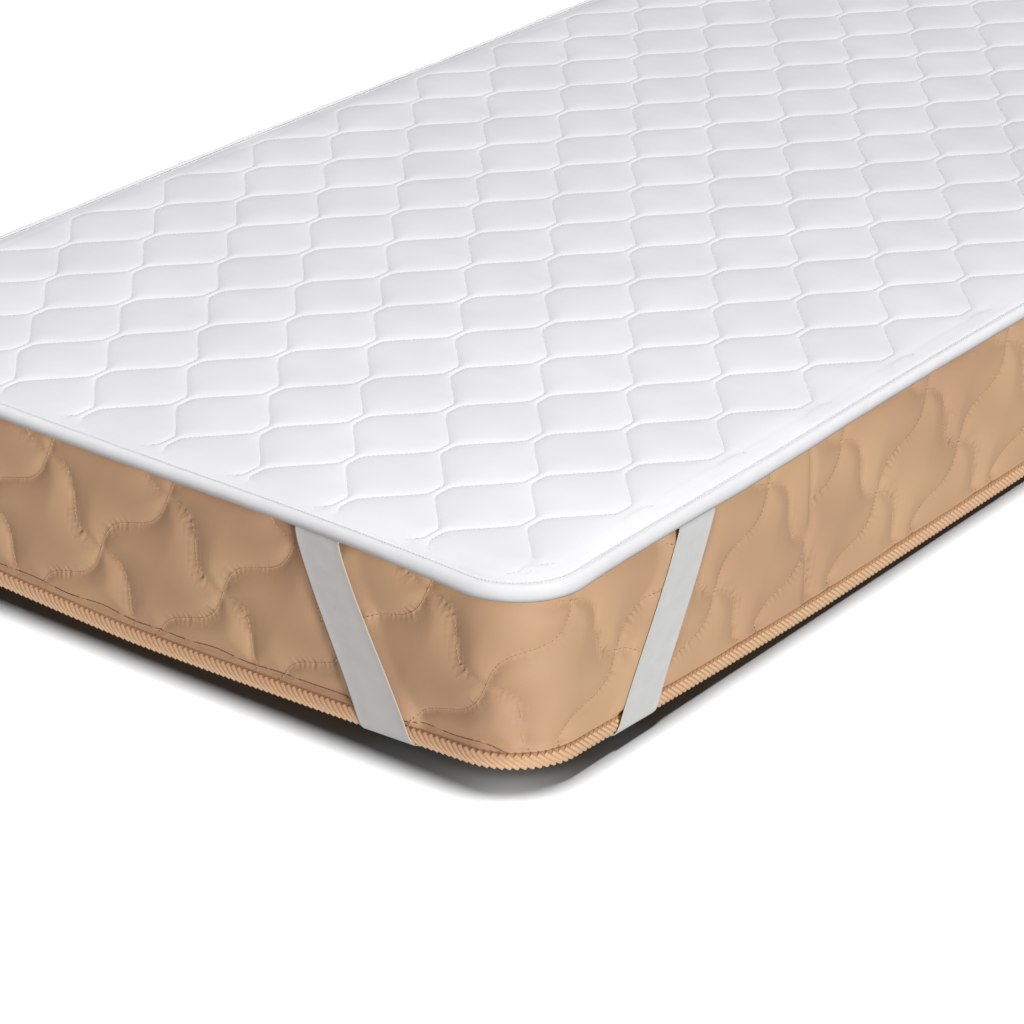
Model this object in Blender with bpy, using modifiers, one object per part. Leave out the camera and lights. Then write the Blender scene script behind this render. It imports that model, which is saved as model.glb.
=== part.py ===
"""A white quilted mattress topper, held by four corner elastics on the mattress that it covers.

Metres, +Z up. The origin is under the middle of the mattress, on the surface that it stands on.
+Y runs along the mattress, from the foot end to the head end, and +X across it.
"""

import math

import bmesh
import bpy
from mathutils import Vector

MM = 0.001
GAP = 0.3 * MM  # between pieces that touch

# The mattress
HALF_WIDTH = 450 * MM
HALF_LENGTH = 1000 * MM
HEIGHT = 190 * MM
CORNER_RADIUS = 64 * MM
TOP_DISH = 1 * MM  # how far the middle of the top gives, and the topper with it
CORNER_LIFT = 17 * MM  # how far the elastics pull the bottom of a corner up
LIFT_REACH = 450 * MM  # how far along the sides that pull is felt
LIFT_CURVE = 1.3  # 1 is a straight fade, more keeps the pull nearer to the corner

# The quilting: sewn lines run along the mattress and meet their neighbours in turn, left and right
CELL_HALF_WIDTH = 50 * MM
CELL_LENGTH = 139.8 * MM
PINCH_GAP = 6 * MM  # between two sewn lines where they meet
PINCH_SHARE = 1 / 6  # of a cell's length, that a pinch takes
ON_A_SEAM = 0.1 * MM  # a puff lower than this lies on a sewn line
LAST_PINCH_X = HALF_WIDTH - 29.4 * MM
FIRST_PINCH_Y = -HALF_LENGTH + 36 * MM
PUFF = 7 * MM  # height of a cell's crown above its sewn lines
FULLNESS = 2.2  # 1 is a roof, 2 a round pillow, more is flatter on top
PUFF_FADE = 60 * MM  # the cells flatten over this distance to the bound edge
QUILT_INSIDE = 24 * MM  # the quilt's mesh lines stop here, and the rim's take over

# The panel's rim, which falls over the mattress's edge
SEWN_THICKNESS = 6.6 * MM
EDGE_THICKNESS = 3.6 * MM
PANEL_OVERHANG = 4 * MM
SIDE_FALL = 3.6 * MM
CORNER_FALL = 10.5 * MM
FALL_RAMP = 260 * MM  # from a corner's fall to a side's
RIM_SAG = 0.8 * MM
SAG_WAVE = 640 * MM

# The binding, a tape folded over the panel's rim
BINDING_THICKNESS = 1.2 * MM
BINDING_GAP = 0.8 * MM
BINDING_INSIDE = 8 * MM
BINDING_OVERHANG = 6 * MM
BINDING_NOSE = 3 * MM  # depth of the fold's round front

# The elastics
STRAP_THICKNESS = 1.2 * MM

# The tape sewn round the mattress's bottom edge
TAPE_BOTTOM = 4 * MM
TAPE_TOP = 18 * MM
TAPE_SEAT = -2 * MM  # the mattress's side behind the tape
TAPE_BULGE = 5 * MM
TAPE_STEPS = 6

# Distance from a corner, along each side, of the mesh lines of the mattress and its tape
SIDE_STATIONS = (CORNER_RADIUS, 138 * MM, 212 * MM, 290 * MM, 370 * MM, 450 * MM)
BINDING_SPACING = 76 * MM
CORNER_STEPS = 4  # mesh lines from a corner's middle to each of its ends

# How far the rim has fallen, as a share of the whole fall: (beyond the mattress's side, share)
RIM_FALL = (
    (-20 * MM, 0.0),
    (-8 * MM, 0.28),
    (4 * MM, 1.0),
    (8 * MM, 1.3),
)

# The mattress's side, from its flat bottom up: (beyond the nominal side, height)
BODY_PROFILE = (
    (-8 * MM, 1.2 * MM),
    (TAPE_SEAT, 3.2 * MM),
    (TAPE_SEAT, 20 * MM),
    (1 * MM, 34 * MM),
    (3.4 * MM, 66 * MM),
    (4 * MM, 104 * MM),
    (2.4 * MM, 142 * MM),
    (0 * MM, 164 * MM),
    (-3.5 * MM, 177 * MM),
    (-11 * MM, 186 * MM),
    (-26 * MM, HEIGHT),
)
BODY_BOTTOM_EDGE = -12 * MM  # outside the first mesh line of a corner

# An elastic's way from the binding down the side and under the mattress:
# (beyond the side, height, share of the way along the slant)
STRAP_PROFILE = (
    (4.9 * MM, 179.5 * MM, 0.0),
    (5.4 * MM, 168 * MM, 0.05),
    (5.6 * MM, 136 * MM, 0.22),
    (5.4 * MM, 100 * MM, 0.44),
    (5.6 * MM, 60 * MM, 0.69),
    (5.9 * MM, 30 * MM, 0.87),
    (6.0 * MM, 12 * MM, 0.97),
    (5.3 * MM, 6.6 * MM, 1.0),
    (3.2 * MM, 3.6 * MM, 1.02),
    (-1.5 * MM, 2.2 * MM, 1.06),
    (-7 * MM, -0.1 * MM, 1.11),
    (-12.5 * MM, -1 * MM, 1.19),
)
STRAP_TAB = (-6 * MM, -1 * MM, 3 * MM)  # beyond the side, of its sewn end under the binding
TAB_GAP = 0.7 * MM  # under the binding, whose edge isn't quite straight
UNDER_STEPS = 4
# Distance from the corner of an elastic's edges, where it leaves the binding and where it turns
# under the mattress: (outer edge up, outer edge down, inner edge up, inner edge down)
STRAP_ON_END = (200 * MM, 121 * MM, 249 * MM, 178 * MM)
STRAP_ON_SIDE = (204 * MM, 118 * MM, 258 * MM, 176 * MM)

COLOURS = {
    "topper_panel": (0.80, 0.80, 0.82),
    "topper_binding": (0.86, 0.86, 0.87),
    "strap": (0.52, 0.52, 0.50),
    "mattress_body": (0.50, 0.29, 0.17),
    "mattress_tape": (0.66, 0.41, 0.26),
}


def clear_scene():
    for old in list(bpy.data.objects):
        bpy.data.objects.remove(old, do_unlink=True)


def fabric(name, colour):
    material = bpy.data.materials.new(name)
    material.use_nodes = True
    shader = material.node_tree.nodes["Principled BSDF"]
    shader.inputs["Base Color"].default_value = (*colour, 1.0)
    shader.inputs["Roughness"].default_value = 0.85
    shader.inputs["Metallic"].default_value = 0.0
    return material


def add_object(name, bm, material, collection, smooth_angle=40):
    """Turns a finished bmesh into an object, shaded smooth but for its sharp edges."""
    bmesh.ops.recalc_face_normals(bm, faces=bm.faces)
    mesh = bpy.data.meshes.new(name)
    bm.to_mesh(mesh)
    bm.free()
    mesh.shade_smooth()
    mesh.set_sharp_from_angle(angle=math.radians(smooth_angle))
    mesh.materials.append(material)
    obj = bpy.data.objects.new(name, mesh)
    collection.objects.link(obj)
    return obj


def interpolate(table, value):
    """Reads a table of (position, result) rows along straight lines between its rows."""
    if value <= table[0][0]:
        return table[0][1]
    for (start, low), (end, high) in zip(table, table[1:]):
        if value <= end:
            return low + (high - low) * (value - start) / (end - start)
    return table[-1][1]


# The outline


def beyond_corner_centre(x, y):
    """How far a point lies past the centre of its corner's arc, across and along."""
    return abs(x) - HALF_WIDTH + CORNER_RADIUS, abs(y) - HALF_LENGTH + CORNER_RADIUS


def edge_offset(x, y):
    """Distance beyond the mattress's rounded outline, negative inside it."""
    across, along = beyond_corner_centre(x, y)
    outside = math.hypot(max(across, 0.0), max(along, 0.0))
    return outside + min(max(across, along), 0.0) - CORNER_RADIUS


def outward(x, y):
    """The direction that leaves the outline squarely at the point's side or corner."""
    across, along = beyond_corner_centre(x, y)
    if across > 0 and along > 0:
        away = Vector((across, along)).normalized()
    elif across > along:
        away = Vector((1.0, 0.0))
    else:
        away = Vector((0.0, 1.0))
    return Vector((math.copysign(away.x, x), math.copysign(away.y, y)))


def round_corner(x, y):
    """Bends the square corner of a grid into the mattress's round one."""
    across, along = beyond_corner_centre(x, y)
    reach = max(across, along)
    if min(across, along) <= 0:
        return x, y
    turn = math.pi / 4 * min(across, along) / reach
    long_way, short_way = reach * math.cos(turn), reach * math.sin(turn)
    new_across, new_along = (long_way, short_way) if across >= along else (short_way, long_way)
    new_x = HALF_WIDTH - CORNER_RADIUS + new_across
    new_y = HALF_LENGTH - CORNER_RADIUS + new_along
    return math.copysign(new_x, x), math.copysign(new_y, y)


def mirrored(values):
    """The same lines on both sides of the middle, sorted."""
    return sorted(set([-value for value in values] + list(values)))


def corner_lines(half):
    """Mesh lines through a corner's arc, as distances from the middle of the mattress."""
    steps = range(CORNER_STEPS)
    return [half - CORNER_RADIUS * step / CORNER_STEPS for step in steps]


def side_lines(half, stations):
    lines = corner_lines(half) + [half - station for station in stations if station < half]
    return mirrored(lines)


def even_lines(half, spacing):
    straight = half - CORNER_RADIUS
    count = round(2 * straight / spacing)
    lines = [-straight + 2 * straight * step / count for step in range(count + 1)]
    return sorted(mirrored(corner_lines(half)) + lines)


def place(vert, out, height):
    """Moves a vertex along the outline's normal to `out` beyond the side, at a height."""
    x, y, _ = vert.co
    shift = outward(x, y) * (out - edge_offset(x, y))
    vert.co = Vector((x + shift.x, y + shift.y, height))


def outline_loop(bm, across, along):
    """A closed loop of edges on the outline, with a vertex at each given line."""
    foot = [(x, along[0]) for x in across[:-1]]
    right = [(across[-1], y) for y in along[:-1]]
    head = [(x, along[-1]) for x in reversed(across[1:])]
    left = [(across[0], y) for y in reversed(along[1:])]
    points = [round_corner(x, y) for x, y in foot + right + head + left]
    verts = [bm.verts.new((x, y, 0.0)) for x, y in points]
    return [bm.edges.new(pair) for pair in zip(verts, verts[1:] + verts[:1])]


def verts_of(edges):
    return {vert for edge in edges for vert in edge.verts}


def extrude_round(bm, edges, rows):
    """Extrudes a closed loop of edges through rows of (beyond the side, height)."""
    for out, height in rows:
        made = bmesh.ops.extrude_edge_only(bm, edges=edges)["geom"]
        edges = [item for item in made if isinstance(item, bmesh.types.BMEdge)]
        for vert in verts_of(edges):
            place(vert, out, height)
    return edges


def grid(bm, across, along):
    """A flat grid with its lines where they are given and its corners bent round."""
    made = bmesh.ops.create_grid(bm, x_segments=len(across) - 1, y_segments=len(along) - 1, size=0.5)
    for vert in made["verts"]:
        column = round((vert.co.x + 0.5) * (len(across) - 1))
        row = round((vert.co.y + 0.5) * (len(along) - 1))
        x, y = round_corner(across[column], along[row])
        vert.co = Vector((x, y, 0.0))


# The mattress


def corner_lift(x, y, height):
    """The elastics pull the bottom of each corner up, and its top stays where it is."""
    from_corner = HALF_WIDTH - abs(x) + HALF_LENGTH - abs(y)
    pull = max(0.0, 1.0 - from_corner / LIFT_REACH) ** LIFT_CURVE
    return CORNER_LIFT * pull * (1.0 - height / HEIGHT)


def lift_corners(bm):
    for vert in bm.verts:
        vert.co.z += corner_lift(*vert.co)


def dish(bm, faces):
    """Gives a face a middle vertex, a little below its rim."""
    for vert in bmesh.ops.poke(bm, faces=faces)["verts"]:
        vert.co.z -= TOP_DISH


def mattress_body(material, collection):
    bm = bmesh.new()
    across = side_lines(HALF_WIDTH, SIDE_STATIONS)
    along = side_lines(HALF_LENGTH, SIDE_STATIONS)
    grid(bm, across, along)
    rim = [edge for edge in bm.edges if edge.is_boundary]
    for vert in verts_of(rim):
        place(vert, BODY_BOTTOM_EDGE, 0.0)
    top = extrude_round(bm, rim, BODY_PROFILE)
    dish(bm, bmesh.ops.contextual_create(bm, geom=top)["faces"])
    lift_corners(bm)
    return add_object("mattress_body", bm, material, collection)


def mattress_tape(material, collection):
    """The ribbed tape as a D section: a flat back on the side and a round front."""
    bm = bmesh.new()
    loop = outline_loop(
        bm, side_lines(HALF_WIDTH, SIDE_STATIONS), side_lines(HALF_LENGTH, SIDE_STATIONS)
    )
    middle = (TAPE_BOTTOM + TAPE_TOP) / 2
    half_height = (TAPE_TOP - TAPE_BOTTOM) / 2
    back = TAPE_SEAT + GAP
    turns = [math.pi * (step / TAPE_STEPS - 0.5) for step in range(TAPE_STEPS + 1)]
    section = [
        (back + (TAPE_BULGE - back) * math.cos(turn), middle + half_height * math.sin(turn))
        for turn in turns
    ]
    for vert in verts_of(loop):
        place(vert, *section[0])
    last = extrude_round(bm, loop, section[1:])
    bmesh.ops.bridge_loops(bm, edges=loop + last)
    lift_corners(bm)
    return add_object("mattress_tape", bm, material, collection)


# The topper


def rim_height(x, y, out):
    """Height of the middle of the panel's thickness, `out` beyond the mattress's side."""
    across, along = beyond_corner_centre(x, y)
    from_corner = max(0.0, -across) + max(0.0, -along)
    pull = max(0.0, 1.0 - from_corner / FALL_RAMP) ** 2
    wave = 2 * math.pi / SAG_WAVE
    sag = RIM_SAG * (math.cos(wave * x) + math.cos(wave * y))
    fall = SIDE_FALL + (CORNER_FALL - SIDE_FALL) * pull + sag
    return HEIGHT + GAP + SEWN_THICKNESS / 2 - fall * interpolate(RIM_FALL, out)


def sewn_line(number, y):
    """Where a sewn line runs at y: it swings from the pinch on its left to that on its right."""
    phase = ((y - FIRST_PINCH_Y) / CELL_LENGTH - 0.5 * (number % 2)) % 1.0
    swing = max(-1.0, min(1.0, (0.25 - abs(phase - 0.5)) / (0.25 - PINCH_SHARE / 2)))
    middle = LAST_PINCH_X + (number + 0.5) * CELL_HALF_WIDTH
    return middle + swing * (CELL_HALF_WIDTH - PINCH_GAP) / 2


def puff(x, y):
    """Height of the quilting above its sewn lines, from how far the nearest lines are."""
    number = math.floor((x - LAST_PINCH_X) / CELL_HALF_WIDTH)
    lines = [sewn_line(number + step, y) for step in (-1, 0, 1)]
    left, right = (lines[0], lines[1]) if x < lines[1] else (lines[1], lines[2])
    width = right - left
    widest = 2 * CELL_HALF_WIDTH - PINCH_GAP
    crown = math.sqrt(max(0.0, (width - PINCH_GAP) / (widest - PINCH_GAP)))
    from_middle = abs(2 * (x - left) / width - 1)
    inside = max(0.0, -edge_offset(x, y) - BINDING_INSIDE)
    fade = min(1.0, inside / PUFF_FADE)
    return PUFF * crown * (1 - min(1.0, from_middle) ** FULLNESS) * fade * (2 - fade)


def quilt_lines(half, start, step):
    """Mesh lines of the panel: the quilt's own, and those of the rim."""
    first = math.ceil((-half + QUILT_INSIDE - start) / step)
    last = math.floor((half - QUILT_INSIDE - start) / step)
    inner = [start + step * number for number in range(first, last + 1)]
    outer = [half + out for out, _ in RIM_FALL if out <= PANEL_OVERHANG]
    return sorted(inner + mirrored(outer))


def split_quads(bm):
    """Splits each square of the quilting along the sewn line, or along its higher diagonal."""
    for face in [face for face in bm.faces if len(face.verts) == 4]:
        a, b, c, d = face.verts
        first, second = (a, c), (b, d)
        levels = [[puff(vert.co.x, vert.co.y) for vert in pair] for pair in (first, second)]
        on_first, on_second = (max(pair) < ON_A_SEAM for pair in levels)
        first_is_higher = sum(levels[0]) > sum(levels[1])
        split = first if on_first or (first_is_higher and not on_second) else second
        bmesh.utils.face_split(face, *split)


def topper_panel(material, collection):
    bm = bmesh.new()
    across = quilt_lines(HALF_WIDTH, LAST_PINCH_X, CELL_HALF_WIDTH / 2)
    pinch = CELL_LENGTH * PINCH_SHARE
    along = quilt_lines(HALF_LENGTH, FIRST_PINCH_Y + pinch / 2, pinch)
    grid(bm, across, along)
    split_quads(bm)
    made = bmesh.ops.extrude_face_region(bm, geom=list(bm.faces))["geom"]
    upper = {item for item in made if isinstance(item, bmesh.types.BMVert)}
    for vert in bm.verts:
        x, y, _ = vert.co
        out = edge_offset(x, y)
        thickness = EDGE_THICKNESS if out > 0 else SEWN_THICKNESS
        middle = rim_height(x, y, out)
        vert.co.z = middle + thickness / 2 + puff(x, y) if vert in upper else middle - thickness / 2
    flat_inside = RIM_FALL[0][0] + GAP
    resting = [
        face
        for face in bm.faces
        if all(vert not in upper and edge_offset(*vert.co.xy) < flat_inside for vert in face.verts)
    ]
    dish(bm, bmesh.ops.dissolve_faces(bm, faces=resting, use_verts=True)["region"])
    return add_object("topper_panel", bm, material, collection)


def topper_binding(material, collection):
    """A tape folded round the panel's rim, as a sheet through the middle of its thickness."""
    bm = bmesh.new()
    across, along = (even_lines(half, BINDING_SPACING) for half in (HALF_WIDTH, HALF_LENGTH))
    edges = outline_loop(bm, across, along)
    leg = SEWN_THICKNESS / 2 + BINDING_GAP + BINDING_THICKNESS / 2
    fold_start = BINDING_OVERHANG - BINDING_NOSE
    upper = ((-BINDING_INSIDE, leg), (fold_start, leg), (BINDING_OVERHANG, 0.4 * leg))
    lower = [(out, -lift) for out, lift in reversed(upper)]
    for row, (out, lift) in enumerate([*upper, *lower]):
        if row:
            made = bmesh.ops.extrude_edge_only(bm, edges=edges)["geom"]
            edges = [item for item in made if isinstance(item, bmesh.types.BMEdge)]
        for vert in verts_of(edges):
            place(vert, out, rim_height(vert.co.x, vert.co.y, out) + lift)
    binding = add_object("topper_binding", bm, material, collection)
    thicken(binding, BINDING_THICKNESS)
    return binding


def thicken(obj, thickness):
    solidify = obj.modifiers.new("Thickness", "SOLIDIFY")
    solidify.thickness = thickness
    solidify.offset = 0.0
    solidify.use_even_offset = True


# The elastics


def strap_rows():
    """Pairs of points, on an elastic's outer and inner edge, for the corner at +X, -Y."""
    tab_drop = SEWN_THICKNESS / 2 + BINDING_GAP + BINDING_THICKNESS + TAB_GAP + STRAP_THICKNESS / 2

    def row(widths, out, height, share, on_end):
        points = []
        for up, down in (widths[:2], widths[2:]):
            from_corner = up + (down - up) * share
            if on_end:
                point = Vector((HALF_WIDTH - from_corner, -HALF_LENGTH - out, 0.0))
            else:
                point = Vector((HALF_WIDTH + out, -HALF_LENGTH + from_corner, 0.0))
            tucked = height is None
            point.z = rim_height(point.x, point.y, out) - tab_drop if tucked else height
            points.append(point)
        return points

    tab = [(out, None, 0.0) for out in STRAP_TAB]
    way = [*tab, *STRAP_PROFILE]
    down_end = [row(STRAP_ON_END, *step, True) for step in way]
    up_side = [row(STRAP_ON_SIDE, *step, False) for step in reversed(way)]
    under = [
        [start.lerp(end, step / UNDER_STEPS) for start, end in zip(down_end[-1], up_side[0])]
        for step in range(1, UNDER_STEPS)
    ]
    rows = [*down_end, *under, *up_side]
    for point in (point for pair in rows for point in pair):
        point.z += corner_lift(*point)
    return rows


def strap(name, side, end, material, collection):
    """One elastic, sewn under the binding on both sides of a corner and drawn under the mattress."""
    bm = bmesh.new()
    pairs = [
        [bm.verts.new((point.x * side, -point.y * end, point.z)) for point in pair]
        for pair in strap_rows()
    ]
    for (a, b), (c, d) in zip(pairs, pairs[1:]):
        bm.faces.new((a, b, d, c))
    elastic = add_object(name, bm, material, collection)
    thicken(elastic, STRAP_THICKNESS)
    return elastic


def build():
    clear_scene()
    collection = bpy.data.collections.new("mattress_topper")
    bpy.context.scene.collection.children.link(collection)
    materials = {name: fabric(name, colour) for name, colour in COLOURS.items()}
    mattress_body(materials["mattress_body"], collection)
    mattress_tape(materials["mattress_tape"], collection)
    topper_panel(materials["topper_panel"], collection)
    topper_binding(materials["topper_binding"], collection)
    for end_name, end in (("foot", -1), ("head", 1)):
        for side_name, side in (("left", -1), ("right", 1)):
            strap(f"strap_{end_name}_{side_name}", side, end, materials["strap"], collection)


build()
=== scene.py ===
# %% [markdown]
# # A quilted topper on its mattress
#
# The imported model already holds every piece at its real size: a quilted topper with a bound rim, four
# flat elastics, and the plain mattress that the topper covers. This lesson dresses that frame. Each cell
# makes one piece or one finish, and says first what the real thing is and why it is made this way.

import math

import bmesh
import bpy
from mathutils import Matrix, Vector, kdtree, noise


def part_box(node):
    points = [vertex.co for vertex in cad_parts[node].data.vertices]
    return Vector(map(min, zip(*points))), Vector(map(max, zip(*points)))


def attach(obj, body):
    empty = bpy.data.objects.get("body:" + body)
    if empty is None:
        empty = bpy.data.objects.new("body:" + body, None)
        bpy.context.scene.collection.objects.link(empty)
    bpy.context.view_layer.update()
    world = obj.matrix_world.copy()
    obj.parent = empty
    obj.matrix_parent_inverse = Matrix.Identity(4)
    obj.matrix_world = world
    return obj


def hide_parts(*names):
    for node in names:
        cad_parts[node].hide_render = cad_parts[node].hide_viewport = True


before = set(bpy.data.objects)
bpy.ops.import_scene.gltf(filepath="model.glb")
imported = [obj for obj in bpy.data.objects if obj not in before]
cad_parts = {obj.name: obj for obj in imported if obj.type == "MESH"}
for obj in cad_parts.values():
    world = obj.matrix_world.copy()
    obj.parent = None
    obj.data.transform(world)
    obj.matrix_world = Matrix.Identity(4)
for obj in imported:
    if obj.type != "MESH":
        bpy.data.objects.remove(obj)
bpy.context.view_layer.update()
MM = 0.001
print("nodes:", ", ".join(sorted(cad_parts)))

# %% [markdown]
# ## The camera
#
# A product picture of a bed is taken from far away with a long lens, so that its edges stay almost
# parallel. The camera stands about three metres from the near corner, above the mattress, and leans over
# by half a degree, as one does that was levelled on its tripod by eye.

# %% Place the camera
CAMERA_PLACE = Vector((2.0226, -3.0803, 1.5343))
AZIMUTH, ELEVATION, LEAN = 37.43, 25.85, 0.53  # degrees
LENS, SENSOR = 126.56, 36.0  # millimetres
FARTHEST_SEEN = 50.0  # metres

camera = bpy.data.objects.new("camera", bpy.data.cameras.new("camera"))
camera.data.lens = LENS
camera.data.sensor_width = SENSOR
camera.data.clip_end = FARTHEST_SEEN
around = Matrix.Rotation(math.radians(AZIMUTH), 4, "Z")
down = Matrix.Rotation(math.radians(90.0 - ELEVATION), 4, "X")
lean = Matrix.Rotation(math.radians(LEAN), 4, "Z")
camera.matrix_world = Matrix.Translation(CAMERA_PLACE) @ around @ down @ lean
bpy.context.scene.collection.objects.link(camera)
bpy.context.scene.camera = camera
print("camera stands", round(CAMERA_PLACE.length, 2), "m from the mattress's middle")

# %% [markdown]
# ## Helpers for node trees
#
# Materials and Geometry Nodes are both trees of nodes. Writing each link by hand hides what a tree does, so
# one small function adds a node together with its settings and whatever feeds its inputs: a plain value is
# set on the socket, and another node's output is linked to it. A node alone stands for its first output.
#
# Colours are written as in a paint program, as sRGB hex values. Blender calculates with linear light, so one
# function turns the one into the other. No dyed cloth is of one colour all over, so another function lets a
# colour waver between two tones; how many patches lie in a metre follows from their real size.

# %% Node and colour helpers
SHEEN_SPREAD = 0.4


def feed(node, feeds):
    """Feeds a node's inputs, by name or number, with values, outputs or nodes."""
    for socket, value in feeds.items():
        if isinstance(value, bpy.types.Node):
            value = value.outputs[0]
        if isinstance(value, bpy.types.NodeSocket):
            node.id_data.links.new(value, node.inputs[socket])
        else:
            node.inputs[socket].default_value = value


def add_node(tree, kind, feeds=None, **settings):
    """Adds a node with its settings, and feeds its inputs."""
    made = tree.nodes.new(kind)
    for name, value in settings.items():
        setattr(made, name, value)
    feed(made, feeds or {})
    return made


def linear(hex_colour):
    """An sRGB hex colour as Blender's linear red, green, blue and alpha."""
    parts = [int(hex_colour[start : start + 2], 16) / 255 for start in (1, 3, 5)]
    return (*[c / 12.92 if c <= 0.04045 else ((c + 0.055) / 1.055) ** 2.4 for c in parts], 1.0)


def new_material(name, roughness, sheen):
    """A material with a Principled shader, its tree and that shader. Fibres give cloth its sheen."""
    material = bpy.data.materials.new(name)
    material.use_nodes = True
    shader = material.node_tree.nodes["Principled BSDF"]
    feed(shader, {"Roughness": roughness, "Sheen Weight": sheen, "Sheen Roughness": SHEEN_SPREAD})
    return material, material.node_tree, shader


def uneven_colour(shader, where, per_metre, detail, dark, pale):
    """Colours a shader between two tones, each (place on the ramp, hex), by a noise that it returns."""
    tree = shader.id_data
    patches = add_node(tree, "ShaderNodeTexNoise", {"Vector": where, "Scale": per_metre, "Detail": detail})
    tone = add_node(tree, "ShaderNodeValToRGB", {"Fac": patches})
    for stop, (position, colour) in zip(tone.color_ramp.elements, (dark, pale)):
        stop.position, stop.color = position, linear(colour)
    feed(shader, {"Base Color": tone})
    return patches, tone


print("white in linear light:", linear("#FFFFFF")[:3])

# %% [markdown]
# ## Light
#
# White goods are photographed against a floor that is lit until it is pure white, while the goods
# themselves get less light and keep their shade. A photographer keeps the two apart with black flags, and
# lights a white cover and a tan one each as it needs. Blender's light linking does that with collections:
#
# - the backdrop light stands nearly above, and throws the short dark shadow in front of the mattress;
#   a small kicker near the floor thins that shadow under the near corner, which curls up a little;
# - the skylight and the near box light the white topper from high at the right, which gives every cell of
#   the quilting a bright flank and a shaded one, and makes the near corner the brightest;
# - the low key lights the tan side from the near corner, as a white floor would, a weak rosy fill from the
#   left lifts the flanks that the key leaves dark, and a far key does the same work for the hidden sides;
# - the rims get less of that, because white needs less light than tan.

# %% Light the studio
ROOM_STRENGTH = 0.16
LAMPS = (
    # name, kind, colour, strength or watts, spread in degrees or size in metres, place, aim, what it reaches
    ("backdrop_light", "SUN", "#FFFFFF", 44.0, 13, (-0.042, 0.12, 1.0), (0, 0, 0), ("floor",)),
    ("corner_kicker", "AREA", "#FFFFFF", 0.3, 0.06, (0.465, -1.035, 0.05), (0.42, -0.97, 0.0), ("floor",)),
    ("skylight", "SUN", "#FFFFFF", 2.32, 26, (0.45, -0.13, 0.9), (0, 0, 0), ("panel", "rim")),
    ("near_box", "AREA", "#FFFFFF", 2.9, 0.5, (0.8, -1.05, 1.2), (0.4, -0.9, 0.2), ("panel",)),
    ("low_key", "SUN", "#FFFFFF", 2.9, 22, (0.85, -0.45, -0.06), (0, 0, 0), ("side",)),
    ("far_key", "SUN", "#FFFFFF", 2.6, 40, (-0.75, 0.65, 0.1), (0, 0, 0), ("side",)),
    ("rosy_fill", "SUN", "#FFD9D2", 0.36, 40, (-0.5, -0.8, 0.5), (0, 0, 0), ("side",)),
    ("rim_key", "SUN", "#FFFFFF", 0.85, 34, (0.6, -0.66, 0.08), (0, 0, 0), ("rim",)),
    ("far_rim_key", "SUN", "#FFFFFF", 0.95, 40, (-0.7, 0.6, 0.0), (0, 0, 0), ("rim",)),
)

room = bpy.data.worlds.new("white_room")
room.use_nodes = True
feed(room.node_tree.nodes["Background"], {"Color": linear("#FFFFFF"), "Strength": ROOM_STRENGTH})
bpy.context.scene.world = room
bpy.context.scene.view_settings.view_transform = "Standard"
lit_by = {group: [] for group in ("floor", "panel", "rim", "side")}

for name, kind, colour, power, spread, stand, aim, groups in LAMPS:
    lamp = bpy.data.lights.new(name, kind)
    lamp.energy = power
    lamp.color = linear(colour)[:3]
    if kind == "SUN":
        lamp.angle = math.radians(spread)
    else:
        lamp.size = spread
    holder = bpy.data.objects.new(name, lamp)
    holder.location = stand
    holder.rotation_euler = (Vector(aim) - Vector(stand)).to_track_quat("-Z", "Y").to_euler()
    holder.visible_camera = False
    holder.light_linking.receiver_collection = bpy.data.collections.new(f"lit_by_{name}")
    bpy.context.scene.collection.objects.link(holder)
    for group in groups:
        lit_by[group].append(holder.light_linking.receiver_collection)

# %% [markdown]
# ## The floor
#
# The mattress lies on the paper sweep of the studio, which is plain. The paper is pale grey and its light is
# so strong that it turns white; then little of the stray light shows in the shadow, which stays dark. The
# paper neither shades the low lamps nor throws its own glare back at the goods.

# %% Lay the floor
FLOOR_SIZE = 200.0

bpy.ops.mesh.primitive_plane_add(size=FLOOR_SIZE)
floor = bpy.context.object
floor.name = "studio_floor"
paper, _, shader = new_material("pale_grey_paper_sweep", 0.9, 0.0)
feed(shader, {"Base Color": linear("#525252")})
floor.data.materials.append(paper)
floor.visible_diffuse = floor.visible_glossy = floor.visible_shadow = False
for reach in lit_by["floor"]:
    reach.objects.link(floor)
print("floor:", FLOOR_SIZE, "m")

# %% [markdown]
# ## The mattress's outline
#
# Everything that runs round the mattress follows one line: a rectangle with round corners. A place on that
# line is given by how far along it lies from the middle of the near corner, to the right along the long
# side. That one number is also where the side's pattern, its seam and its stitches are measured.

# %% The outline and what is measured on it
SIDE_BULGE = 4 * MM  # the mattress's side stands this far outside its nominal outline
CORNER_RADIUS = 64 * MM
_, mattress_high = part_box("mattress_body")
HALF_WIDTH = mattress_high.x - SIDE_BULGE
HALF_LENGTH = mattress_high.y - SIDE_BULGE
HEIGHT = mattress_high.z
CORNER_ARC = CORNER_RADIUS * math.pi / 2
LONG_SIDE = 2 * (HALF_LENGTH - CORNER_RADIUS)
SHORT_SIDE = 2 * (HALF_WIDTH - CORNER_RADIUS)
PERIMETER = 2 * (LONG_SIDE + SHORT_SIDE) + 4 * CORNER_ARC
CORNER_SIGNS = ((1, -1), (1, 1), (-1, 1), (-1, -1))


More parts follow.
